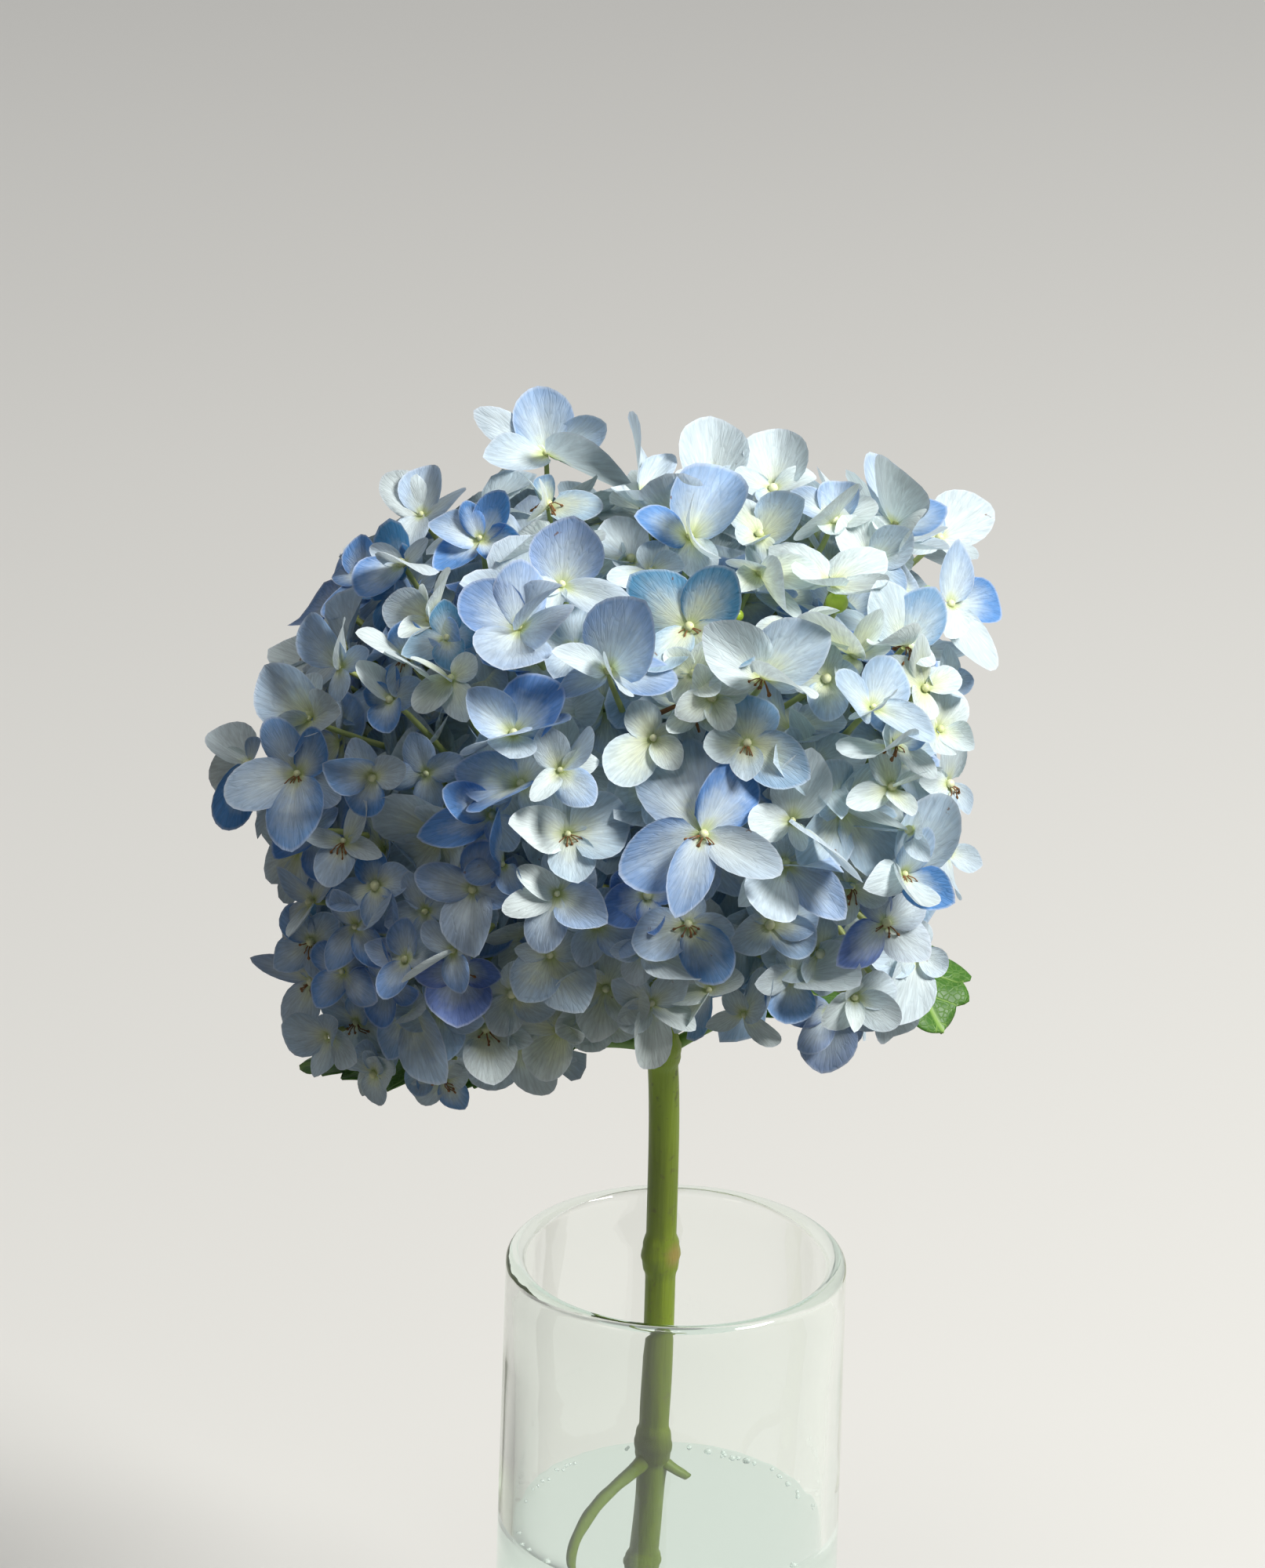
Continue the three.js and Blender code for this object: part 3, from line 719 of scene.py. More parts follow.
# Places and lengths are in millimetres as seen in the plane of the head's middle. Each row has
# the floret's place across and up, its lean to the right and up from the line of sight, how
# much deeper than its neighbours it sits, how lilac (or, below zero, how teal) it is, and how
# cream its throat is. Then come its sepals: turn, length, breadth, pitch and blue.
SEEN_FLORETS = [
    (18.5, 19.5, 0, 0.1, 3, -0.2, 1,
     ((140, 9, 0.9, 14, 0), (48, 10, 0.95, 10, 0), (318, 9, 0.9, 10, 0.02), (228, 8, 0.9, 6, 0))),
    (23, 13.5, 0, 0, 2, -0.2, 0.95,
     ((110, 8, 0.9, 14, 0), (28, 10, 0.8, 10, 0), (300, 9, 0.8, 10, 0.02), (205, 9, 0.9, 6, 0.05))),
    (21, -21.5, 0.05, 0, -5, 0.25, 0.1,
     ((113, 25.5, 0.9, -14, 0.42), (57, 22, 0.68, -12, 0.85), (205, 24, 0.72, -10, 0.66),
      (251, 20.5, 0.6, 0, 0.6), (332, 22, 0.58, 8, 0.25))),
    (-26.5, 31.5, -0.05, 0.05, -2, 0.35, 0.15,
     ((143, 17, 0.95, 18, 0.55), (88, 17, 0.85, 4, 0.45), (48, 15, 0.42, 40, 0.25),
      (14, 19, 0.5, 34, 0.28), (252, 20, 0.98, 10, 0.3))),
    (-15.5, 42.5, 0, 0.15, 0, 0.45, 0.25,
     ((80, 17, 1.08, 12, 0.6), (335, 20, 0.52, 12, 0.22), (185, 8, 0.7, 20, 0.15), (250, 7, 0.8, 0, 0.1))),
    (-3.5, 20.5, 0, 0, -1, 0.3, 0.15,
     ((62, 19, 1.05, 22, 0.58), (160, 13, 0.5, 50, 0.12), (205, 13, 0.52, 0, 0.5),
      (350, 17, 0.62, 4, 0.6), (300, 13, 0.3, 60, 0.1))),
    (17.5, 32, 0, -0.15, 4, -0.7, 0.45,
     ((138, 18, 0.95, -4, 0.75), (52, 17, 0.98, -4, 0.78), (330, 17, 0.8, 10, 0.55),
      (228, 16, 0.7, 14, 0.45))),
    (17.5, 55, 0.05, 0.2, 2, 0.15, 0.35,
     ((58, 19, 0.98, 14, 0.55), (158, 13, 0.85, 30, 0.8), (343, 17, 0.3, 62, 0.08),
      (220, 13, 0.8, -10, 0.2), (290, 12, 0.8, -8, 0.15))),
    (35.5, 55.5, 0.1, 0.15, 4, -0.2, 0.75,
     ((38, 14, 0.9, 16, 0.35), (125, 12, 0.9, 10, 0.12), (215, 10, 0.8, 10, 0.08),
      (300, 10, 0.7, 6, 0.15))),
    (35.5, 46, 0, -0.1, 5, -0.2, 0.9,
     ((358, 15, 0.62, 20, 0.05), (215, 11, 0.55, 20, 0.02), (300, 16, 0.4, 14, 0.08),
      (150, 9, 0.3, 50, 0.15))),
    (36.5, 18.5, 0, 0.1, -1, 0.1, 0.15,
     ((138, 18, 0.85, 20, 0.1), (34, 18, 0.92, 12, 0.3), (186, 13, 0.55, 20, 0),
      (342, 17, 0.32, 50, 0.02))),
    (-28, 4.5, -0.05, 0.25, -1, 0.3, 0.2,
     ((52, 17, 0.86, 14, 0.78), (136, 15, 0.82, 10, 0.38), (12, 14, 0.34, 24, 0.45),
      (264, 11, 1.15, 30, 0.15), (194, 16, 0.3, 40, 0.25))),
    (-16, -5, 0, 0.05, -2, 0.2, 0.45,
     ((112, 11, 0.9, 20, 0.22), (44, 13, 0.36, 20, 0.3), (226, 10, 0.62, 24, 0.05),
      (315, 11, 0.86, 20, 0.48), (14, 9, 0.75, 10, 0.05))),
    (8, 3, 0, 0.05, 6, -0.6, 0.95,
     ((118, 10, 1.05, 10, 0.15), (14, 6, 1, 14, 0.03), (222, 15, 0.85, 6, 0.22), (310, 9, 1, 4, 0.05))),
    (32.5, 2, 0, 0.05, 4, -0.35, 0.6,
     ((86, 13, 1.15, 12, 0.62), (186, 11, 0.86, 18, 0.12), (330, 17, 0.78, 8, 0.5), (268, 9, 1, 0, 0.2))),
    (44, -18, 0.05, 0.05, 2, 0.1, 0.2,
     ((76, 17, 0.98, 18, 0.1), (182, 12, 0.82, 14, 0.06), (290, 8, 0.62, 8, 0.15),
      (321, 21, 0.26, 30, 0.2))),
    (42, -29, 0.05, -0.05, 3, 0.3, 0.18,
     ((112, 8, 0.9, 20, 0.3), (352, 13, 0.45, 36, 0.48), (318, 19, 0.66, 12, 0.55),
      (248, 21, 0.8, 14, 0.22), (222, 14, 0.5, 4, 0.05))),
    (75, -20.5, -1.2, 0.3, -2, 0.1, 0.15,
     ((168, 20, 0.3, 30, 0.06), (186, 20, 0.3, 6, 0.28), (60, 10, 0.6, 20, 0.2), (300, 8, 0.7, 0, 0.2))),
    (72.5, -32, 0.25, 0.05, -2, 0.05, 0.15,
     ((58, 23, 0.72, 14, 0.3), (62, 13, 0.72, 40, 0.42), (332, 13, 0.95, 4, 1), (196, 15, 0.6, 34, 0.1),
      (292, 15, 0.95, 40, 0.05))),
    (69.5, -9.5, 0.3, 0.1, 1, 0.1, 0.7,
     ((18, 13, 0.36, 20, 0), (305, 11, 0.5, 20, 0), (200, 12, 0.5, 8, 0.05), (112, 12, 0.7, 0, 0.15))),
    (-26, -8.5, -0.1, 0, 3, 0.15, 0.4,
     ((166, 16, 0.78, 14, 0.48), (216, 15, 0.42, 34, 0.62), (60, 11, 1, 4, 0.25), (310, 10, 0.9, 4, 0.25))),
    (-33.5, -16.5, -0.35, -0.1, 3, 0.2, 0.15,
     ((152, 17, 0.62, 30, 0.92), (196, 18, 0.6, 4, 0.78), (80, 10, 0.9, 4, 0.5), (300, 10, 0.8, 0, 0.4))),
    (-14, -21.5, -0.05, 0, 3, -0.4, 0.45,
     ((171, 17, 0.52, 40, 0), (84, 11, 1.3, 6, 0.35), (12, 15, 1, 2, 0.35), (282, 12, 1.1, 4, 0.3))),
    (-30.5, -29.5, -0.6, -0.1, 0, 0.25, 0.15,
     ((94, 14, 0.32, 30, 0.85), (200, 10, 0.7, 0, 0.5), (300, 8, 0.8, 0, 0.5))),
    (-38, -35.5, -0.15, -0.1, 1, 0.35, 0.15,
     ((72, 12, 1.1, 16, 0.62), (166, 15, 0.66, 16, 0.45), (270, 16, 1.02, 8, 0.3), (350, 10, 0.9, 0, 0.5))),
    (-16.5, -37, -0.1, -0.1, -1, 0.3, 0.25,
     ((62, 13, 1.15, 14, 0.34), (148, 12, 0.5, 46, 0.02), (196, 14, 0.5, 26, 0.03),
      (252, 15, 0.82, 22, 0.45), (330, 13, 0.9, -4, 0.5))),
    (17, -45, 0, -0.1, 2, 0.05, 0.4,
     ((196, 15, 0.84, 10, 0.45), (302, 17, 0.86, 10, 0.72), (350, 11, 0.7, 8, 0.35), (80, 8, 1, 0, 0.4))),
    (6.5, -37.5, 0, -0.1, 7, 0.5, 0.1,
     ((206, 12, 1, 6, 1), (150, 10, 0.9, 4, 0.9), (280, 9, 0.9, 6, 0.85), (20, 8, 0.9, 0, 0.9))),
    (5.5, -51.5, -0.1, -0.3, 2, 0.35, 0.45,
     ((330, 15, 0.46, 12, 0.12), (180, 8, 0.8, 8, 0.25), (90, 8, 0.8, 0, 0.3), (250, 9, 0.9, 0, 0.2))),
    (-18.5, -52.5, -0.1, -0.25, 3, -0.2, 0.6,
     ((235, 13, 0.95, 6, 0.42), (300, 15, 0.95, 4, 0.34), (170, 8, 0.8, 10, 0.2), (30, 8, 0.9, 0, 0.2))),
    (68, -44.5, 0.2, -0.1, -1, 0.95, 0.15,
     ((222, 15, 0.72, 16, 0.85), (118, 12, 0.8, 4, 0.6), (320, 13, 0.95, 4, 0.2), (30, 10, 0.9, 0, 0.2))),
    (76, -52.5, 0.4, -0.2, 0, 0.1, 0.2,
     ((250, 17, 0.85, 10, 0.12), (90, 9, 1, 10, 0.15), (190, 12, 0.9, 2, 0.25), (330, 8, 0.9, 6, 0.2))),
    (60, -63.5, 0.15, -0.2, -3, 0.25, 0.3,
     ((105, 9, 0.62, 60, 0), (222, 10, 0.9, 24, 0.05), (268, 9, 0.6, 40, 0), (330, 13, 0.72, 10, 0.12),
      (20, 10, 0.9, 0, 0.15))),
    (54, -67, 0.1, -0.45, 3, 0.65, 0.2,
     ((262, 15, 0.95, 6, 0.55), (225, 13, 0.8, 4, 0.55), (180, 14, 0.5, 16, 0.6), (310, 10, 0.9, 0, 0.5))),
    (68.5, -63, 0.3, -0.4, 2, 0.1, 0.25,
     ((280, 11, 1.1, 10, 0.15), (220, 12, 0.9, 6, 0.28), (340, 9, 1, 6, 0.2), (80, 9, 0.9, 0, 0.1))),
    (44, -58, 0, -0.5, 4, 0.15, 0.35,
     ((262, 12, 1.2, 4, 0.68), (190, 13, 0.5, 24, 0.12), (352, 16, 0.42, 30, 0.1), (90, 9, 1, 0, 0.2))),
    (31.5, -67.5, -0.1, -0.6, 4, 0.1, 0.35,
     ((48, 13, 0.34, 34, 0.25), (200, 9, 0.62, 10, 0.1), (320, 12, 0.5, 10, 0.05), (120, 8, 0.8, 0, 0.2))),
    (22.5, -61.5, -0.1, -0.35, 4, 0, 0.75,
     ((16, 9, 0.45, 20, 0), (196, 10, 0.45, 14, 0), (232, 13, 0.22, 14, 0.02), (100, 8, 0.8, 0, 0.1))),
    (84, -8.5, 0.7, 0.05, 0, 0.15, 0.35,
     ((82, 14, 0.5, 14, 0.1), (240, 13, 0.72, 10, 0.25), (310, 9, 0.7, 10, 0.25), (180, 10, 0.8, 8, 0.08))),
    (81.5, 5.5, 0.6, 0.1, 1, -0.1, 0.55,
     ((70, 12, 0.95, 10, 0.05), (150, 10, 0.95, 10, 0.02), (255, 15, 0.8, 10, 0.06),
      (330, 9, 0.9, 6, 0.1))),
    (84, -26, 0.65, -0.1, 1, 0.05, 0.25,
     ((84, 13, 0.5, 18, 0.12), (278, 18, 0.55, 14, 0.2), (340, 9, 0.8, 10, 0.2), (200, 9, 0.9, 0, 0.4))),
    (64.5, 11, 0.3, 0.25, -1, -0.05, 0.25,
     ((62, 13, 1.15, 16, 0.42), (150, 15, 0.95, 10, 0.34), (230, 13, 0.4, 40, 0.1),
      (330, 16, 0.62, 20, 0.3))),
    (70.5, 1.5, 0.35, 0, 0, 0.15, 0.3,
     ((140, 12, 0.5, 34, 0.1), (48, 10, 0.95, 12, 0.62), (205, 17, 0.42, 20, 0.08),
      (320, 13, 0.5, 20, 0.06))),
    (52.5, 18.5, 0.1, 0.15, 2, -0.15, 0.65,
     ((6, 8, 1.1, 10, 0.3), (90, 9, 0.95, 8, 0.05), (270, 10, 1.1, 10, 0.35), (190, 8, 0.9, 0, 0.1))),
    (60, 24.5, 0.1, 0.2, 3, -0.1, 1,
     ((130, 18, 0.42, 26, 0), (14, 9, 0.5, 20, 0), (238, 9, 0.8, 6, 0.02), (60, 12, 0.5, 20, 0))),
    (44, 32, 0.05, 0.2, 4, 0.05, 0.7,
     ((338, 13, 0.4, 24, 0), (18, 12, 0.36, 30, 0.02), (196, 10, 0.7, 8, 0.05), (270, 8, 0.8, 6, 0.1))),
    (73, 27, 0.25, 0.15, 0, -0.35, 0.3,
     ((112, 17, 0.92, 18, 0.2), (62, 16, 0.85, 10, 0.62), (176, 13, 0.3, 40, 0.02), (330, 8, 0.8, 6, 0.1))),
    (78, 16, 0.45, 0.1, 1, -0.1, 0.85,
     ((92, 12, 0.62, 14, 0.03), (150, 13, 0.62, 10, 0.02), (262, 10, 0.9, 12, 0.03),
      (20, 9, 0.9, 10, 0.15))),
    (83.5, 17.5, 0.7, 0.05, 2, 0.05, 0.25,
     ((8, 7, 1.1, 10, 0.45), (82, 10, 0.8, 10, 0.2), (280, 8, 0.9, 10, 0.3), (170, 9, 0.8, 0, 0.1))),
    (84.5, 37.5, 0.45, 0.15, -1, 0.1, 0.15,
     ((6, 14, 0.92, 12, 0.8), (82, 15, 0.62, 20, 0.42), (298, 19, 0.72, 12, 0.12),
      (254, 14, 0.62, 26, 0.02))),
    (70.5, 58, 0.15, 0.35, -1, 0.15, 0.15,
     ((108, 19, 0.62, -18, 0.36), (22, 13, 0.95, 4, 0.68), (322, 16, 0.3, 54, 0.06),
      (296, 14, 0.3, 40, 0.02), (190, 12, 0.6, 14, 0.05))),
    (81.5, 54.5, 0.35, 0.3, 2, 0.1, 0.15,
     ((42, 17, 0.95, 6, 0.14), (330, 10, 0.9, 6, 0.1), (110, 9, 0.9, 6, 0.5), (200, 9, 0.8, 0, 0.1))),
    (54.5, 59, 0.1, 0.4, 0, 0.15, 0.35,
     ((78, 11, 0.95, 14, 0.48), (148, 13, 0.62, 20, 0.42), (318, 19, 0.28, 50, 0.04),
      (20, 12, 0.9, 10, 0.02), (240, 8, 0.9, 6, 0.05))),
    (64.5, 48.5, 0.15, 0.05, 4, 0, 0.35,
     ((120, 13, 1, 16, 0), (40, 12, 0.9, 8, 0.25), (238, 9, 0.8, 10, 0.35), (310, 11, 0.8, 6, 0.45))),
    (22.5, 66.5, 0.05, 0.1, 2, -0.05, 0.2,
     ((88, 18, 0.95, 4, 0.14), (150, 9, 0.8, 14, 0.1), (30, 9, 0.8, 14, 0.2), (270, 8, 0.9, 10, 0.3))),
    (39, 67.5, 0.05, 0.1, 1, -0.1, 0.35,
     ((84, 15, 0.98, 2, 0.12), (160, 11, 0.62, 30, 0.12), (20, 11, 0.62, 24, 0.06),
      (250, 10, 0.8, 14, 0.3))),
    (5, 66, 0, 0.15, 0, 0.4, 0.2,
     ((97, 21, 0.34, 6, 0.22), (56, 13, 0.62, 0, 0.3), (208, 12, 0.78, 24, 0), (300, 8, 0.7, 10, 0.1))),
    (-19.5, 76.5, 0, 0.15, -1, 0.1, 0.15,
     ((97, 17, 0.9, 12, 0.55), (148, 20, 0.52, 0, 0.2), (26, 17, 0.62, 6, 0.42),
      (188, 19, 0.66, 10, 0.24), (334, 26, 0.36, 20, 0.12))),
    (-19, 63, 0, 0.35, 1, -0.45, 0.8,
     ((128, 11, 0.42, 20, 0.3), (100, 9, 0.5, 14, 0.6), (354, 14, 0.78, 10, 0.45), (222, 11, 0.3, 44, 0))),
    (-51.5, 60.5, -0.3, 0.3, 1, 0.15, 0.15,
     ((128, 15, 0.75, 16, 0.06), (82, 13, 0.85, 16, 0.3), (30, 12, 0.6, 10, 0.25),
      (250, 10, 0.8, 10, 0.2))),
    (-36.5, 54.5, -0.1, 0.15, 1, 0.1, 0.1,
     ((160, 13, 0.8, 26, 0.42), (214, 13, 0.72, 6, 1), (62, 13, 0.8, 18, 0.85), (110, 10, 0.62, 20, 0.7),
      (330, 12, 0.8, 0, 0.7))),
    (-56.5, 48, -0.3, 0.2, 0, 0.25, 0.1,
     ((150, 9, 0.6, 20, 0.2), (318, 15, 0.42, 34, 0.08), (40, 9, 0.7, 10, 0.2), (220, 13, 0.95, 8, 0.6))),
    (-65.5, 44, -0.55, 0.15, 3, 0.2, 0.1,
     ((100, 11, 1, 10, 0.62), (230, 14, 1, 10, 0.55), (320, 10, 0.8, 6, 0.5), (170, 8, 0.9, 6, 0.55))),
    (-49, 34, -0.15, 0.1, 2, 0, 0.8,
     ((165, 12, 1, 6, 0.2), (208, 9, 0.62, 24, 0), (70, 12, 0.42, 24, 0), (300, 13, 0.9, 4, 0.5),
      (100, 8, 0.3, 30, 0))),
    (-45, 29, -0.1, 0, 4, -0.7, 0.3,
     ((95, 9, 1, 8, 0.62), (10, 8, 1, 8, 0.62), (200, 11, 0.7, 8, 0.4), (285, 8, 1.1, 8, 0.6))),
    (-44, 18.5, -0.15, 0, 1, -0.2, 0.95,
     ((150, 10, 0.42, 26, 0), (220, 12, 0.62, 16, 0.02), (290, 11, 0.8, 8, 0.05), (40, 8, 0.9, 6, 0.05))),
    (-55.5, 24, -0.25, 0, 2, 0.15, 0.25,
     ((90, 9, 1.1, 10, 0.62), (150, 13, 0.36, 40, 0.04), (20, 8, 0.9, 6, 0.4), (255, 10, 0.6, 16, 0.3),
      (310, 14, 0.3, 40, 0.05))),
    (-59.5, 13, -0.35, -0.05, 2, 0.2, 0.15,
     ((160, 7, 1, 10, 0.7), (90, 8, 1, 12, 0.85), (20, 9, 1, 4, 0.4), (270, 8, 1.1, 6, 0.6),
      (130, 12, 0.36, 34, 0.04))),
    (-72.5, 21.5, -0.55, 0.05, 3, 0.1, 0.35,
     ((88, 12, 0.46, 20, 0.04), (118, 15, 0.82, 6, 0.4), (30, 8, 0.8, 0, 0.4), (270, 8, 0.9, 6, 0.3))),
    (-80, 8, -0.55, 0.15, 0, -0.05, 0.6,
     ((132, 18, 0.82, 10, 0.3), (88, 12, 0.8, 6, 0.1), (10, 14, 0.8, 10, 0.1), (250, 10, 0.9, 10, 0.3),
      (200, 12, 0.4, 20, 0.1))),
    (-83.5, -6, -0.35, -0.1, -2, 0.1, 0.25,
     ((120, 16, 0.62, 24, 0.5), (58, 13, 0.9, 14, 0.62), (196, 20, 0.72, 20, 0.32),
      (268, 19, 0.85, 14, 0.55), (330, 12, 0.9, 10, 0.3))),
    (-95.5, -3.5, -0.9, 0.05, 2, 0.05, 0.15,
     ((196, 11, 1.1, 4, 0), (140, 13, 0.42, 20, 0.1), (246, 17, 0.42, 14, 0.7), (60, 8, 0.8, 0, 0.4))),
    (-64, -6.5, -0.3, -0.1, 2, 0.1, 0.4,
     ((166, 12, 1, 16, 0.5), (120, 10, 0.95, 4, 0.3), (240, 10, 1.1, 10, 0.62), (20, 9, 0.9, 0, 0.2))),
    (-50.5, -5.5, -0.25, -0.05, 13, 0.2, 0.25,
     ((190, 10, 0.8, 6, 0.45), (110, 10, 0.8, 4, 0.4), (20, 9, 0.8, 0, 0.4), (280, 10, 0.8, 4, 0.4))),
    (-71.5, -23.5, -0.4, -0.2, 4, 0, 0.5,
     ((170, 10, 0.5, 20, 0.1), (60, 12, 0.5, 14, 0.1), (250, 12, 0.8, 6, 0.3), (340, 10, 0.6, 20, 0.1))),
    (-79.5, -20.5, -0.6, -0.15, 2, 0.25, 0.15,
     ((215, 12, 0.95, 10, 0.68), (140, 9, 0.9, 4, 0.5), (290, 13, 0.85, 6, 0.6), (40, 8, 0.9, 0, 0.4))),
    (-79.5, -39, -0.6, -0.25, 3, 0.1, 0.45,
     ((140, 12, 0.6, 10, 0.35), (228, 12, 0.62, 16, 0.15), (50, 10, 0.6, 10, 0.2),
      (300, 12, 0.6, 20, 0.1))),
    (-63.5, -35, -0.4, -0.2, 7, 0.15, 0.35,
     ((100, 9, 0.9, 6, 0.7), (200, 13, 0.62, 10, 0.45), (20, 9, 0.9, 0, 0.4), (290, 12, 0.9, 4, 0.45))),
    (-79.5, -59, -0.6, -0.35, 3, 0.45, 0.4,
     ((162, 16, 0.52, 10, 0.4), (248, 14, 0.8, 8, 0.25), (100, 9, 0.8, 6, 0.3), (320, 10, 0.8, 6, 0.15))),
    (-68.5, -45, -0.45, -0.25, 4, 0.2, 0.2,
     ((236, 13, 0.62, 10, 0.5), (120, 10, 0.7, 6, 0.4), (40, 12, 0.4, 14, 0.3), (310, 12, 0.8, 4, 0.6))),
    (-55.5, -54, -0.3, -0.25, 2, 0.3, 0.25,
     ((90, 11, 0.8, 6, 0.5), (240, 11, 0.8, 6, 0.55), (160, 10, 0.8, 4, 0.4), (20, 10, 0.9, 0, 0.3))),
    (-43, -51.5, -0.3, -0.3, -1, 0.3, 0.25,
     ((214, 15, 0.3, 34, 0.02), (30, 6, 0.5, 14, 0.1), (140, 10, 0.7, 6, 0.3), (280, 10, 0.8, 4, 0.5))),
    (-42, -56.5, -0.2, -0.4, 3, 1, 0.2,
     ((268, 13, 1.28, 6, 0.75), (190, 10, 0.8, 4, 0.7), (350, 10, 0.8, 4, 0.7), (90, 8, 0.8, 0, 0.5))),
    (-55.5, -67, -0.35, -0.4, 3, 0.05, 0.55,
     ((170, 10, 0.42, 20, 0.05), (12, 10, 0.36, 24, 0.02), (300, 18, 0.85, 8, 0.3),
      (250, 12, 0.8, 8, 0.45))),
    (-75.5, -73.5, -0.6, -0.5, 4, -0.1, 0.35,
     ((170, 12, 1.1, 8, 0.28), (250, 10, 0.9, 8, 0.2), (320, 12, 0.8, 6, 0.15), (60, 9, 0.9, 4, 0.3))),
    (-63.5, -83, -0.4, -0.6, 4, -0.1, 0.4,
     ((150, 10, 0.5, 10, 0.25), (270, 8, 0.95, 6, 0.2), (20, 10, 0.9, 6, 0.12), (90, 8, 0.9, 0, 0.3))),
    (-45.5, -84, -0.25, -0.6, 4, 0, 0.6,
     ((215, 10, 0.8, 6, 0.15), (300, 9, 0.95, 6, 0.55), (150, 10, 0.9, 6, 0.1), (30, 9, 0.9, 4, 0.1))),
    (-27, -74.5, -0.2, -0.5, 2, -0.15, 0.55,
     ((232, 16, 0.85, 6, 0.2), (300, 16, 0.85, 4, 0.1), (165, 16, 0.9, 6, 0.32), (60, 10, 0.8, 6, 0.1),
      (110, 12, 0.25, 30, 0.1))),
    (-15.8, -72, -0.1, -0.5, 1, -0.2, 0.9,
     ((246, 13, 1, 6, 0.02), (355, 9.5, 0.55, 14, 0.03), (170, 9.5, 0.7, 10, 0.05),
      (80, 10, 0.9, 8, 0.25))),
    (7.5, -65, -0.05, -0.4, 1, 0.05, 0.35,
     ((268, 17.5, 0.505, 8, 0.02), (215, 10, 0.8, 6, 0.1), (330, 12, 0.4, 14, 0.04),
      (150, 10, 0.9, 4, 0.3), (35, 10, 0.9, 4, 0.2))),
    (-35, -71.5, -0.2, -0.4, 1, -0.1, 0.6,
     ((278, 14, 1, 6, 0.04), (215, 10, 0.8, 6, 0.15), (345, 11, 0.8, 6, 0.1), (95, 10, 0.9, 4, 0.3))),
    (-47, -67.5, -0.25, -0.4, 2, -0.2, 0.35,
     ((270, 13, 1.05, 6, 0.4), (185, 11, 0.8, 6, 0.3), (350, 11, 0.8, 6, 0.3), (90, 10, 0.9, 4, 0.4))),
    (-64, -80, -0.35, -0.4, 1, 0.1, 0.3,
     ((250, 9, 0.62, 14, 0.05), (180, 8, 0.7, 10, 0.15), (350, 9, 0.7, 14, 0.05), (100, 8, 0.8, 8, 0.35))),
    (-50, -81, -0.3, -0.4, 2, -0.1, 0.5,
     ((300, 9.5, 0.9, 8, 0.55), (235, 8.5, 0.9, 8, 0.4), (0, 9, 0.8, 6, 0.1), (120, 8, 0.9, 6, 0.2))),
    (-68, -69.5, -0.45, -0.3, 2, 0, 0.35,
     ((250, 11, 0.9, 6, 0.3), (330, 11, 0.9, 6, 0.2), (160, 9, 0.9, 6, 0.35), (70, 9, 0.9, 6, 0.5))),
    (-58, -73, -0.4, -0.3, 4, -0.1, 0.45,
     ((260, 10, 0.9, 6, 0.35), (350, 10, 0.9, 6, 0.2), (170, 9, 0.9, 6, 0.3), (80, 9, 0.9, 6, 0.4))),
    (-71.5, -57, -0.5, -0.25, 3, 0.25, 0.2,
     ((230, 11, 0.9, 6, 0.6), (320, 11, 0.9, 6, 0.5), (140, 10, 0.9, 6, 0.6), (50, 9, 0.9, 6, 0.5))),
    (-60.5, -60, -0.4, -0.25, 4, 0.3, 0.15,
     ((260, 11, 0.9, 6, 0.6), (350, 10, 0.9, 6, 0.6), (170, 9, 0.9, 6, 0.7), (80, 10, 0.9, 6, 0.5))),
    (-80, -49, -0.6, -0.2, 3, 0.1, 0.3,
     ((215, 11, 0.9, 6, 0.4), (300, 11, 0.9, 6, 0.3), (120, 10, 0.9, 6, 0.5), (40, 9, 0.9, 6, 0.4))),
    (-28, -62.5, -0.2, -0.3, 4, -0.1, 0.7,
     ((250, 11, 0.9, 6, 0.1), (340, 11, 0.9, 6, 0.2), (160, 10, 0.9, 6, 0.3), (60, 9, 0.9, 6, 0.1))),
    (38, -45, 0.05, -0.15, 6, -0.1, 0.6,
     ((330, 12, 0.9, 4, 0.5), (20, 13, 0.9, 4, 0.5), (210, 10, 0.9, 4, 0.3), (120, 8, 0.9, 0, 0.3))),
    (51, -52, 0.1, -0.25, 5, -0.2, 0.8,
     ((180, 14, 0.9, 6, 0.2), (0, 12, 0.9, 6, 0.2), (90, 10, 0.9, 6, 0.2), (270, 10, 1, 4, 0.2))),
    (59, -35, 0.15, -0.05, 6, -0.4, 0.95,
     ((250, 10, 0.9, 6, 0.1), (160, 9, 0.9, 4, 0.1), (70, 10, 0.8, 4, 0.1), (340, 9, 0.9, 4, 0.1))),
    (-6.5, -45, 0, -0.15, 5, 0.15, 0.4,
     ((150, 12, 0.9, 6, 0.25), (60, 10, 0.9, 6, 0.3), (250, 10, 0.9, 4, 0.3), (340, 12, 0.9, 4, 0.5))),
    (-50.5, -41, -0.3, -0.2, 9, 0.25, 0.2,
     ((200, 10, 0.9, 6, 0.3), (110, 10, 0.9, 6, 0.35), (20, 8, 0.9, 0, 0.3), (280, 10, 0.8, 6, 0.4))),
    (7.5, 46, 0, 0.25, 5, -0.4, 0.45,
     ((80, 8, 1, 10, 0.2), (190, 10, 0.8, 6, 0.1), (300, 10, 0.8, 6, 0.2), (10, 8, 0.9, 6, 0.3))),
    (19.5, 11, 0, 0, 9, -0.2, 0.9,
     ((130, 10, 0.9, 8, 0.05), (220, 10, 0.5, 20, 0.05), (40, 8, 0.9, 6, 0.05), (310, 8, 0.6, 8, 0.1))),
    (-4, -61, 0, -0.35, 4, -0.15, 0.85,
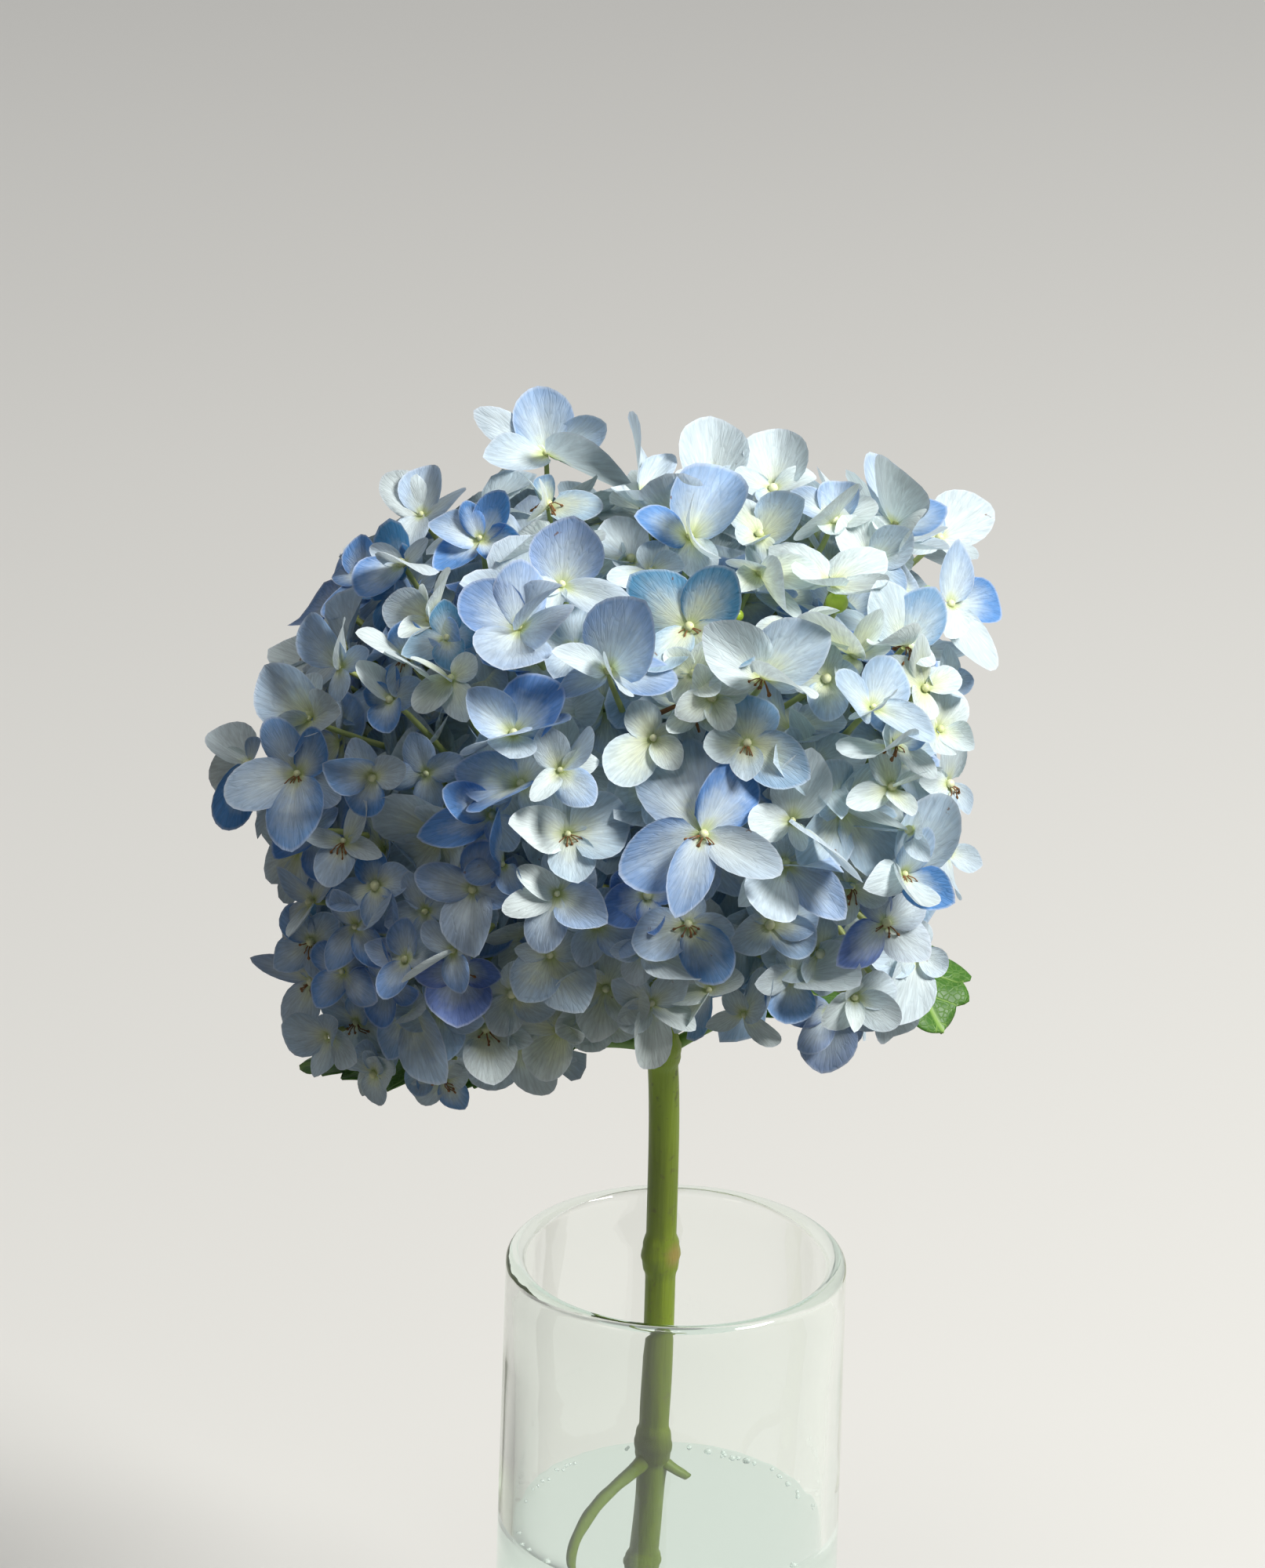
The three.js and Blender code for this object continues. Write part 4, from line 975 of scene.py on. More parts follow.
     ((255, 13, 0.95, 6, 0.03), (325, 12, 0.9, 6, 0.05), (175, 12, 0.9, 6, 0.1), (70, 9, 0.9, 6, 0.1))),
    (-6, -68.5, 0, -0.4, 3, -0.1, 0.85,
     ((262, 8, 1, 4, 0.03), (200, 11, 0.9, 6, 0.05), (340, 10, 0.9, 6, 0.05), (90, 9, 0.9, 6, 0.1))),
    (-12, -66.5, -0.05, -0.4, 6, -0.1, 0.7,
     ((235, 13, 0.9, 6, 0.05), (310, 12, 0.95, 6, 0.1), (150, 10, 0.9, 6, 0.1), (40, 9, 0.9, 6, 0.1))),
    (9.5, -10.5, 0, 0, 9, -0.4, 0.7,
     ((180, 12, 0.9, 8, 0.3), (100, 10, 0.9, 8, 0.2), (270, 10, 0.9, 6, 0.3), (350, 8, 0.8, 6, 0.3))),
]

# Partly painted light: florets at the right of the head's middle are made creamier, and so paler, beyond
# their own cream.
CREAM_AND_PAINTED_LIGHT_PATCH, CREAM_AND_PAINTED_LIGHT_REACH, CREAM_AND_PAINTED_LIGHT_ADDED = (46, 30), 30, 0.2
BLUE_LEFT_OF, BLUER, BLUER_IN_PATCH = -22, 1.3, 0.15


def patch_tint(across, up, blue, cream):
    """The head is bluer on its left side and has a creamier, paler patch at the right of its middle: partly
    the florets' own cream and partly painted light.
    """
    nearness = ((across - CREAM_AND_PAINTED_LIGHT_PATCH[0]) ** 2 + (up - CREAM_AND_PAINTED_LIGHT_PATCH[1]) ** 2) / CREAM_AND_PAINTED_LIGHT_REACH**2
    cream = min(cream + CREAM_AND_PAINTED_LIGHT_ADDED * math.exp(-nearness), 1)
    if across < BLUE_LEFT_OF:
        return min(blue * BLUER, 1), cream
    return blue * (1 + BLUER_IN_PATCH * math.exp(-nearness)), cream


AIM_STEPS, AIM_STRIDE = 8, 0.7
MOST_STRETCH = 1.3


def as_seen(turn, length, pitch, side, rise, axis):
    """The turn and length of a sepal in a tipped floret that look as they do in the picture."""
    own_turn = turn
    for _ in range(AIM_STEPS):
        angle = math.radians(own_turn)
        tip = math.cos(math.radians(pitch)) * (math.cos(angle) * side + math.sin(angle) * rise)
        tip += math.sin(math.radians(pitch)) * axis
        off = turn - math.degrees(math.atan2(tip.dot(view_up), tip.dot(view_right)))
        own_turn += AIM_STRIDE * ((off + 180) % 360 - 180)
    shown = math.hypot(tip.dot(view_up), tip.dot(view_right))
    return own_turn, length * min(1 / max(shown, 0.1), MOST_STRETCH)


SEEN_ROWS, SEEN_COLUMNS = 8, 16
SEEN_SEED = 100
OUTWARD_SHARE = 0.35
CUPPING, CUP_SPREAD = 12, 12
TIPPED_UP, TIP_SPREAD = 0.28, 0.2
WILD_SPREAD, WILD_LEFT_OF = 0.5, -30  # the florets at the lower left stand more every way

points, places, faces, count = [], [], [], 0
looks = {"blue": [], "share": [], "lilac": [], "cream": []}
centres = []
for number, (across, up, lean_right, lean_up, depth, lilac, cream, sepals) in enumerate(SEEN_FLORETS):
    centre = seen_at(across, up, depth)
    nearness = (centre - EYE).dot(ahead) / (HEAD_CENTRE - EYE).dot(ahead)
    spread = WILD_SPREAD if across < WILD_LEFT_OF and up < 0 else TIP_SPREAD
    lean_right += between(-spread, spread, number, 31)
    lean_up += TIPPED_UP + between(-spread, spread, number, 32)
    axis = (EYE - centre).normalized() + lean_right * view_right + lean_up * view_up
    outward = outward_at((centre - HEAD_CENTRE).normalized())
    axis = (axis.normalized() + OUTWARD_SHARE * outward).normalized()
    side = (view_right - view_right.dot(axis) * axis).normalized()
    rise = axis.cross(side)
    seed = SEEN_SEED + number
    made = []
    for at, (turn, length, breadth, pitch, blue) in enumerate(sepals):
        length = 0.001 * length * nearness
        pitch += CUPPING + between(-CUP_SPREAD, CUP_SPREAD, number, 33 + at)
        mean_pitch = pitch + math.degrees(arch_of(sepal_seed(seed, at))) / 2
        own_turn, own_length = as_seen(turn, length, mean_pitch, side, rise, axis)
        if breadth > SEEN_ASIDE:
            breadth = max(breadth * length / own_length, SEEN_ASIDE)
        made.append((own_turn, own_length, breadth, pitch, patch_tint(across, up, blue, cream)[0]))
    flat, place, some_faces, blue, share = floret(made, seed, SEEN_ROWS, SEEN_COLUMNS)
    points.append(flat @ np.array([side, rise, axis]) + np.array(centre))
    places.append(place)
    faces += shifted(some_faces, count)
    looks["blue"].append(blue)
    looks["share"].append(share)
    looks["lilac"].append(np.full(len(flat), lilac))
    looks["cream"].append(np.full(len(flat), patch_tint(across, up, 0, cream)[1]))
    centres.append((centre, axis))
    count += len(flat)

# A sepal is a thin, dry, silky leaf that lets light through: cream at its throat, pale in the
# middle and blue towards its margin, with fine forked veins that fan out from the claw.
sepal_finish, tree, place = new_finish("hydrangea_sepal")
uv = add(tree, "ShaderNodeUVMap", uv_map="petal").outputs[0]
across, along = add(tree, "ShaderNodeSeparateXYZ", {0: uv}).outputs[:2]
blue, lilac, cream, share = [
    add(tree, "ShaderNodeAttribute", attribute_name=name).outputs["Fac"]
    for name in ("blue", "lilac", "cream", "share")
]

# Veins: a few dozen fine streaks that fan out from the claw, shifted for each sepal.
shift = calc(tree, "MULTIPLY", share, 31)
fan = add(tree, "ShaderNodeCombineXYZ", {0: across, 1: along, 2: shift}).outputs[0]
stretched = add(tree, "ShaderNodeMapping", {"Vector": fan, "Scale": (34, 3.2, 1)}).outputs[0]
streaks = noise(tree, stretched, 1, 3)
forked = add(tree, "ShaderNodeMapping", {"Vector": fan, "Scale": (30, 3, 1)}).outputs[0]
net_inputs = {"Vector": forked, "Scale": 1, "Randomness": 0.85}
net = add(tree, "ShaderNodeTexVoronoi", net_inputs, feature="DISTANCE_TO_EDGE").outputs[0]
vein = ramp(tree, net, 0.12, 0.0, 0, 1)

# The blue deepens towards the margin, unevenly: cloudy flecks a millimetre or two wide lie
# where it is thin.
flecks = noise(tree, place, 520, 4)
clouds = noise(tree, place, 110, 2)
drift = calc(tree, "MULTIPLY_ADD", clouds, 0.5, -0.25)
drift = calc(tree, "MULTIPLY_ADD", flecks, 0.3, drift)
outness = calc(tree, "ADD", along, drift)
edge = ramp(tree, outness, 0.25, 1.2, 0.2, 1.3, smooth=True)
blueness = calc(tree, "MULTIPLY", blue, edge, clamp=True)

# Hue: periwinkle, turned towards lilac or teal.
pigment = mix(tree, calc(tree, "MULTIPLY", lilac, 0.75, clamp=True), "#6a9cd8", "#8494d4")
pigment = mix(tree, calc(tree, "MULTIPLY", lilac, -0.9, clamp=True), pigment, "#6ca4be")
flesh = mix(tree, blueness, "#e4efef", pigment)

# The throat: cream, then yellow-green at the very claw. A cream floret is cream almost all over.
throat_reach = ramp(tree, cream, 0, 1, 0.36, 1.25)
throat = ramp(tree, outness, throat_reach, 0.0, 0, 0.92, smooth=True)
creamy = mix(tree, throat, flesh, "#ebefc0")
clawed = mix(tree, ramp(tree, along, 0.2, 0.02, 0, 0.75), creamy, "#c6d483")

# Veins are a little deeper in colour, the streaks between them lighter and darker by turns.
# The margin is pale, a painted highlight where the edge catches light, and here and there a
# speck has dried brown.
streak_inputs = {"Value": ramp(tree, streaks, 0.3, 0.7, 0.8, 1.1), "Color": clawed}
streaked = add(tree, "ShaderNodeHueSaturation", streak_inputs).outputs[0]
vein_inputs = {"Saturation": 1.25, "Value": 0.74, "Color": clawed}
vein_colour = add(tree, "ShaderNodeHueSaturation", vein_inputs).outputs[0]
colour = mix(tree, calc(tree, "MULTIPLY", vein, 0.26), streaked, vein_colour)
# Painted highlight: a pale band along each sepal's margin.
colour = mix(tree, ramp(tree, along, 0.945, 0.99, 0, 0.4), colour, "#e6edf8")
colour = mix(tree, ramp(tree, noise(tree, place, 260, 3), 0.745, 0.775, 0, 0.75), colour, "#7a5230")
relief = bump(tree, calc(tree, "SUBTRACT", streaks, vein), 0.22, 0.0003)
silk = {
    "Base Color": colour,
    "Roughness": 0.52,
    "Specular IOR Level": 0.25,
    "Sheen Weight": 0.08,
    "Normal": relief,
}
shone = add(tree, "ShaderNodeHueSaturation", {"Saturation": 1.15, "Color": colour}).outputs[0]
glow = add(tree, "ShaderNodeBsdfTranslucent", {"Color": shone, "Normal": relief})
show(tree, add(tree, "ShaderNodeBsdfPrincipled", silk), glow, 0.35)

seen = object_from("florets_in_front", np.concatenate(points), faces, sepal_finish)
name_uv(seen, "petal", np.concatenate(places))
for name, values in looks.items():
    store(seen.data, name, np.concatenate(values).astype(np.float32))
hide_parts("flower_head")
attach(seen, "root")

# ---- Florets all round --------------------------------------------------------------------
# The rest of the ball has the same thin florets: a few made shapes, set on points by rule. A
# second layer stands deeper and fills the shade between the first.

SHAPE_ROWS, SHAPE_COLUMNS = 6, 10
SHAPE_COUNT, SHAPE_SEED = 14, 300
SEPAL_LENGTH = 0.0185
OUTER_COUNT, INNER_COUNT = 210, 260
OUTER_DEPTH, INNER_DEPTH = (0.006, 0.012), (0.017, 0.030)
OUTER_CLEAR, INNER_CLEAR = 0.0135, 0.007  # from the florets of the picture
BEHIND_SEEN = 0.005  # florets on the viewer's side stand this much behind those of the picture
STEM_SIDE = (Vector(STEM_PATH[4]) - HEAD_CENTRE).normalized()  # towards the leaves' node
BARE_UNDERSIDE = math.radians(30)  # round that side no floret grows
BARE_BELOW, BARE_RIGHT_OF = -0.060, -0.014  # the picture shows no more florets under the head here
# The picture shows a shaded hollow on the head's left side, where only deeper florets stand.
HOLLOW_LEFT, HOLLOW_RIGHT, HOLLOW_BELOW, HOLLOW_ABOVE = -0.060, -0.034, -0.038, 0.004
# How far the ball reaches behind the florets of the picture, as seen; its bulge reaches further.
TOP_LIMIT, RIGHT_LIMIT, LEFT_LIMIT, BULGE_HALF = 0.060, 0.070, -0.073, 0.030
PALE_ABOVE, PALER = 0.045, 0.45  # those that look over its top are pale
WANDER, SIDE_SPREAD, RISE_SPREAD, FACE_UP = 0.05, 0.45, 0.35, 0.22


def even_directions(count):
    """Directions spread evenly over a ball by the golden angle."""
    golden_angle = math.pi * (3 - math.sqrt(5))
    directions = []
    for index in range(count):
        height = 1 - (2 * index + 1) / count
        radius = math.sqrt(1 - height**2)
        turn = index * golden_angle
        directions.append(Vector((radius * math.cos(turn), radius * math.sin(turn), height)))
    return directions


def shape_in(shapes, name, points, faces, finish):
    """A shape that a tree sets out: it is kept in a collection of its own, out of the scene."""
    shape = object_from(name, points, faces, finish)
    bpy.context.collection.objects.unlink(shape)
    shapes.objects.link(shape)
    return shape


def clear_away(shapes):
    """Deletes shapes and their collection, once they are set out."""
    for shape in list(shapes.objects):
        bpy.data.objects.remove(shape)
    bpy.data.collections.remove(shapes)


def growing_tree(name, inputs):
    """An empty tree with named inputs and one output, and its inputs by name."""
    tree = bpy.data.node_groups.new(name, "GeometryNodeTree")
    for socket_name, socket_kind in inputs.items():
        tree.interface.new_socket(socket_name, in_out="INPUT", socket_type="NodeSocket" + socket_kind)
    tree.interface.new_socket("Grown", in_out="OUTPUT", socket_type="NodeSocketGeometry")
    return tree, add(tree, "NodeGroupInput").outputs


def named(tree, name, data_type):
    return add(tree, "GeometryNodeInputNamedAttribute", {"Name": name}, data_type=data_type).outputs[0]


def end_tree(tree, geometry, finish):
    """Makes what has grown plain mesh of one finish, and the tree's output."""
    real = add(tree, "GeometryNodeRealizeInstances", {"Geometry": geometry}).outputs[0]
    finished = add(tree, "GeometryNodeSetMaterial", {"Geometry": real, "Material": finish})
    add(tree, "NodeGroupOutput", {0: finished.outputs[0]})


def grown(name, points, edges, attributes, tree, settings):
    """The plain mesh that a tree grows on points; attributes maps a name to (kind, values)."""
    mesh = bpy.data.meshes.new(name + "_start")
    mesh.from_pydata([tuple(point) for point in points], edges, [])
    for key, (kind, values) in attributes.items():
        store(mesh, key, values, kind)
    start = bpy.data.objects.new(name + "_start", mesh)
    bpy.context.collection.objects.link(start)
    modifier = start.modifiers.new("grow", "NODES")
    modifier.node_group = tree
    for item in tree.interface.items_tree:
        if item.name in settings:
            modifier[item.identifier] = settings[item.name]
    bpy.context.view_layer.update()
    evaluated = start.evaluated_get(bpy.context.evaluated_depsgraph_get())
    result = bpy.data.meshes.new_from_object(evaluated)
    result.name = name
    result.polygons.foreach_set("use_smooth", [True] * len(result.polygons))
    piece = bpy.data.objects.new(name, result)
    bpy.context.collection.objects.link(piece)
    bpy.data.objects.remove(start)
    return piece


shapes = bpy.data.collections.new("floret_shapes")
for number in range(SHAPE_COUNT):
    sepal_count = 5 if number % 5 == 4 else 4
    made = [
        (
            360 * at / sepal_count + between(-9, 9, number, 60 + at),
            SEPAL_LENGTH * between(0.82, 1.12, number, 70 + at),
            (4 / sepal_count) ** 0.6 * between(0.72, 1.02, number, 80 + at),
            between(2, 26, number, 90 + at),
            1,  # the blue comes with the point that each floret stands on
        )
        for at in range(sepal_count)
    ]
    seed = SHAPE_SEED + number
    flat, place, some_faces, _, share = floret(made, seed, SHAPE_ROWS, SHAPE_COLUMNS)
    shape = shape_in(shapes, f"floret_shape_{number:02}", flat, some_faces, sepal_finish)
    name_uv(shape, "petal", place)
    store(shape.data, "share", share.astype(np.float32))

scatter, given = growing_tree(
    "florets_on_points", {"Points": "Geometry", "Shapes": "Collection", "Finish": "Material"}
)
shape_inputs = {"Collection": given["Shapes"], "Separate Children": True, "Reset Children": True}
turned_to = add(scatter, "FunctionNodeEulerToRotation", {0: named(scatter, "facing", "FLOAT_VECTOR")})
spread_inputs = {
    "Points": given["Points"],
    "Instance": add(scatter, "GeometryNodeCollectionInfo", shape_inputs).outputs[0],
    "Pick Instance": True,
    "Instance Index": named(scatter, "kind", "INT"),
    "Rotation": turned_to.outputs[0],
    "Scale": named(scatter, "size", "FLOAT"),
}
spread_out = add(scatter, "GeometryNodeInstanceOnPoints", spread_inputs).outputs[0]
end_tree(scatter, spread_out, given["Finish"])


def placed(facings, kinds, sizes, **tints):
    """What the scatter tree reads at each point."""
    attributes = {
        "facing": ("FLOAT_VECTOR", np.array(facings, np.float32)),
        "kind": ("INT", np.array(kinds, np.int32)),
        "size": ("FLOAT", np.array(sizes, np.float32)),
    }
    for key, values in tints.items():
        attributes[key] = ("FLOAT", np.array(values, np.float32))
    return attributes


def layer(count, depths, size_range, blue_range, seed, keep_clear):
    """The points of one layer of florets, with what each floret's shape and colour need."""
    spots, facings, kinds, sizes, tints = [], [], [], [], {"blue": [], "lilac": [], "cream": []}
    to_viewer = (EYE - HEAD_CENTRE).normalized()
    for index, direction in enumerate(even_directions(count)):
        number = seed + index
        if direction.angle(STEM_SIDE) < BARE_UNDERSIDE:
            continue
        wander = Vector([between(-WANDER, WANDER, number, axis) for axis in (1, 2, 3)])
        direction = (direction + wander).normalized()
        towards = to_viewer.dot(direction)
        spot = on_head(direction, between(*depths, number, 4) + BEHIND_SEEN * max(towards, 0) ** 0.5)
        if any((spot - centre).length < keep_clear for centre, _ in centres):
            continue
        aside = (spot - HEAD_CENTRE).dot(view_right)
        above = (spot - HEAD_CENTRE).dot(view_up)
        if above < BARE_BELOW and aside > BARE_RIGHT_OF:
            continue
        in_hollow = HOLLOW_LEFT < aside < HOLLOW_RIGHT and HOLLOW_BELOW < above < HOLLOW_ABOVE
        if towards > 0 and in_hollow and depths is OUTER_DEPTH:
            continue
        left_limit = LEFT_LIMIT if abs(above) > BULGE_HALF else LEFT_LIMIT - BULGE_HEIGHT
        spot = spot - max(above - TOP_LIMIT, 0) * view_up - max(aside - RIGHT_LIMIT, 0) * view_right
        spot = spot + max(left_limit - aside, 0) * view_right
        outward = outward_at(direction)
        outward.x += between(-SIDE_SPREAD, SIDE_SPREAD, number, 5)
        outward.y += between(-SIDE_SPREAD, SIDE_SPREAD, number, 6)
        outward.z += FACE_UP + between(-RISE_SPREAD, RISE_SPREAD, number, 7)
        turn = outward.normalized().to_track_quat("Z", "Y").to_matrix()
        turn = turn @ Matrix.Rotation(between(0, 2 * math.pi, number, 8), 3, "Z")
        spots.append(spot)
        facings.append(turn.to_euler()[:])
        kinds.append(int(SHAPE_COUNT * draw(number, 9)))
        sizes.append(between(*size_range, number, 10))
        paler = PALER if above > PALE_ABOVE else 1
        blue, cream = between(*blue_range, number, 11) ** 1.2, between(0.05, 0.95, number, 13) ** 1.4
        if towards > 0:
            blue, cream = patch_tint(1000 * aside, 1000 * above, blue, cream)
        tints["blue"].append(paler * blue)
        tints["lilac"].append(between(-0.6, 0.7, number, 12))
        tints["cream"].append(cream)
    return spots, placed(facings, kinds, sizes, **tints)


for name, count, depths, size_range, blue_range, seed, keep_clear in (
    ("florets_around", OUTER_COUNT, OUTER_DEPTH, (0.74, 1.02), (0.05, 0.8), 500, OUTER_CLEAR),
    ("florets_inside", INNER_COUNT, INNER_DEPTH, (0.75, 1.0), (0.15, 0.75), 900, INNER_CLEAR),
):
    spots, attributes = layer(count, depths, size_range, blue_range, seed, keep_clear)
    piece = grown(name, spots, [], attributes, scatter, {"Shapes": shapes, "Finish": sepal_finish})
    if name == "florets_around":
        for spot, turn in zip(spots, attributes["facing"][1]):
            centres.append((spot, Euler(turn).to_matrix() @ Vector((0, 0, 1))))
    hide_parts("flower_head")
    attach(piece, "root")
clear_away(shapes)

# ---- Beads and buds -----------------------------------------------------------------------
# In the middle of each floret sits its one fertile flower: a bead 1.5 to 3 mm across that
# never opened, cream to green, with four seams. A few whole florets never opened either.

BEAD_RADIUS = 0.0014
BEAD_SHAPES = 3
BEAD_SEAM, BEAD_SEAM_STEP = 0.10, 0.08


def bead_points(radius, lobes, sides, rings):
    """A small, slightly flat ball with seams, as a profile turned round Z."""
    profile = [(0, -radius)]
    for ring in range(1, rings):
        angle = math.pi * ring / rings
        profile.append((radius * math.sin(angle), -radius * math.cos(angle) * 0.92))
    profile.append((0, radius * 0.86))
    points, faces = turned(profile, sides)
    for point in points:
        turn = math.atan2(point.y, point.x)
        squeeze = 1 - lobes * (0.5 - 0.5 * abs(math.cos(2 * turn))) ** 2
        point.x *= squeeze
        point.y *= squeeze
    return points, faces


# A bead is a waxy, unopened flower bud: cream-green, a little shiny, mottled.
bead_finish, tree, place = new_finish("unopened_flower_bud")
blotches = noise(tree, place, 700, 3)
tint = mix(tree, noise(tree, place, 45, 1), "#ecebcf", "#b9c27c")
wax = {
    "Base Color": mix(tree, ramp(tree, blotches, 0.55, 0.75, 0, 0.5), tint, "#7d7a3e"),
    "Roughness": 0.4,
    "Subsurface Weight": 0.3,
    "Subsurface Radius": (1.0, 1.0, 0.5),
    "Subsurface Scale": 0.001,
}
show(tree, add(tree, "ShaderNodeBsdfPrincipled", wax))

bead_shapes = bpy.data.collections.new("bead_shapes")
for number in range(BEAD_SHAPES):
    some_points, some_faces = bead_points(BEAD_RADIUS, BEAD_SEAM + BEAD_SEAM_STEP * number, 10, 6)
    shape_in(bead_shapes, f"bead_shape_{number}", some_points, some_faces, bead_finish)

beads = grown(
    "floret_beads",
    [centre + BEAD_RADIUS * axis for centre, axis in centres],
    [],
    placed(
        [axis.to_track_quat("Z", "Y").to_euler()[:] for _, axis in centres],
        [index % BEAD_SHAPES for index in range(len(centres))],
        [between(0.5, 1.0, index, 21) for index in range(len(centres))],
    ),
    scatter,
    {"Shapes": bead_shapes, "Finish": bead_finish},
)
clear_away(bead_shapes)
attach(beads, "root")

# The florets that never opened are round lime-green buds of a waxier skin. Each row has its
# place across and up as seen, its depth and its radius, in millimetres.
UNOPENED = [
    (55.6, 38.5, 5, 2.9),
    (29.8, 35.1, 8, 1.7),
    (76.5, 21.9, 4, 1.9),
    (79.1, 41.2, 6, 1.7),
    (15.6, 20.9, 9, 1.5),
]
green_finish, tree, place = new_finish("green_waxy_bud")
wax = {
    "Base Color": mix(tree, noise(tree, place, 480, 3), "#8fae1f", "#c3d64a"),
    "Roughness": 0.34,
    "Subsurface Weight": 0.3,
    "Subsurface Radius": (1.0, 1.2, 0.3),
    "Subsurface Scale": 0.0015,
}
show(tree, add(tree, "ShaderNodeBsdfPrincipled", wax))
bud_points, bud_faces, bud_centres = [], [], []
for across, up, depth, radius in UNOPENED:
    centre = seen_at(across, up, depth)
    axis = ((EYE - centre).normalized() + 0.6 * view_up).normalized()
    some_points, some_faces = bead_points(0.001 * radius, 0.12, 20, 12)
    bud_faces += shifted(some_faces, len(bud_points))
    turn = axis.to_track_quat("Z", "Y")
    bud_points += [centre + turn @ point for point in some_points]
    bud_centres.append((centre - 0.0008 * radius * axis, axis))
buds = object_from("unopened_buds", bud_points, bud_faces, green_finish)
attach(buds, "root")

# ---- Bubbles ------------------------------------------------------------------------------
# Air clings to the glass as small bubbles along the waterline. Each has a bead's slightly
# flat round form, without its seams.

BUBBLE_COUNT = 52
BUBBLE_CLEAR_OF_STEM = 0.0055
BACK_ARC, FRONT_ARC = (8, 172), (190, 350)  # in degrees; two in three cling at the back
bubble_finish, tree, _ = new_finish("water_bubble")
film = {"Base Color": "#f6faf9", "Transmission Weight": 0.7, "Roughness": 0.12, "IOR": 1.33}
show(tree, add(tree, "ShaderNodeBsdfPrincipled", film))
bubble_points, bubble_faces = [], []
for number in range(BUBBLE_COUNT):
    angle = math.radians(between(*(BACK_ARC if number % 3 else FRONT_ARC), number, 150))
    radius = 0.001 * between(0.35, 0.95, number, 151)
    away = inner_radius(WATER_LEVEL) - radius - 0.001 * between(0, 1.6, number, 152)
    centre = Vector((away * math.cos(angle), away * math.sin(angle), 0))
    if (centre.xy - STEM_AT_WATER).length < BUBBLE_CLEAR_OF_STEM:
        continue
    centre.z = skin_height(centre.x, centre.y) + 0.2 * radius
    some_points, some_faces = bead_points(radius, 0, 12, 8)
    bubble_faces += shifted(some_faces, len(bubble_points))
    bubble_points += [centre + point for point in some_points]
bubbles = object_from("waterline_bubbles", bubble_points, bubble_faces, bubble_finish)
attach(bubbles, "root")

# ---- Flower stalks ------------------------------------------------------------------------
# The stem divides inside the head into sixteen branches, and each floret stands on a thin
# stalk of its own that grows from the nearest branch. All of it is one growth with the head.

BRANCH_COUNT = 16
BRANCH_RADIUS, BRANCH_TIP = 0.0016, 0.8  # the tip's share of the radius
BRANCH_REACH, BRANCH_RISE = 0.52, 0.004
STALK_FOOT, STALK_RADIUS = 0.0011, 0.0007
STALK_STEPS, STALK_SIDES = 6, 6


def add_strand(strands, path, sizes):
    """Adds a strand through the points of a path, with a radius at each."""
    points, edges, thickness = strands
    edges.extend((len(points) + at, len(points) + at + 1) for at in range(len(path) - 1))
    points.extend(path)
    thickness.extend(sizes)


def add_stalk(strands, start, lean_in, lean_out, end, thick, thin):
    """Adds a bowed strand from start to end that thins as it goes."""
    path, sizes = [], []
    for step in range(STALK_STEPS + 1):
        t = step / STALK_STEPS
        bowed = (1 - t) ** 3 * start + 3 * (1 - t) ** 2 * t * lean_in
        path.append(bowed + 3 * (1 - t) * t**2 * lean_out + t**3 * end)
        sizes.append(thick + (thin - thick) * t)
    add_strand(strands, path, sizes)


stalk_strands = ([], [], [])
branch_start = Vector(STEM_PATH[-1])
branch_ends = []
for direction in even_directions(BRANCH_COUNT):
    end = branch_start.lerp(on_head(direction, 0.02), BRANCH_REACH)
    middle = branch_start.lerp(end, 0.5) + Vector((0, 0, BRANCH_RISE))
    thin = BRANCH_TIP * BRANCH_RADIUS
    add_stalk(stalk_strands, branch_start, middle, middle, end, BRANCH_RADIUS, thin)
    branch_ends.append(end)
for centre, axis in centres + bud_centres:
    foot = min(branch_ends, key=lambda end: (end - centre).length)
    back = centre - 0.0006 * axis
    lean_in, lean_out = foot.lerp(back, 0.35), back - 0.012 * axis
    add_stalk(stalk_strands, foot, lean_in, lean_out, back, STALK_FOOT, STALK_RADIUS)

stalks_tree, given = growing_tree(
    "stalks_on_edges", {"Edges": "Geometry", "Sides": "Int", "Finish": "Material"}
)
profile_inputs = {"Resolution": given["Sides"], "Radius": 1.0}
tube_inputs = {
    "Curve": add(stalks_tree, "GeometryNodeMeshToCurve", {0: given["Edges"]}).outputs[0],
    "Profile Curve": add(stalks_tree, "GeometryNodeCurvePrimitiveCircle", profile_inputs).outputs[0],
    "Scale": named(stalks_tree, "thickness", "FLOAT"),
    "Fill Caps": True,
}
tubes = add(stalks_tree, "GeometryNodeCurveToMesh", tube_inputs).outputs[0]
end_tree(stalks_tree, tubes, given["Finish"])


def grown_strands(name, strands, sides, finish):
    """The plain mesh of tubes that the tree grows along strands."""
    points, edges, sizes = strands
    attributes = {"thickness": ("FLOAT", np.array(sizes, np.float32))}
    return grown(name, points, edges, attributes, stalks_tree, {"Sides": sides, "Finish": finish})


# Young flower stalks: soft, pale yellow-green, streaked.
stalk_finish, tree, place = new_finish("young_flower_stalk")
pale = mix(tree, noise(tree, place, 160, 3), "#8f9f4c", "#c9d08a")
show(tree, add(tree, "ShaderNodeBsdfPrincipled", {"Base Color": pale, "Roughness": 0.5}))

stalks = grown_strands("flower_stalks", stalk_strands, STALK_SIDES, stalk_finish)
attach(stalks, "root")

# ---- Withered stamens ---------------------------------------------------------------------
# Withered stamens hang from the beads that did open: brown threads, each with a dry anther at
# its end. A few dead flower stalks in the middle of the head have gone the same brown.

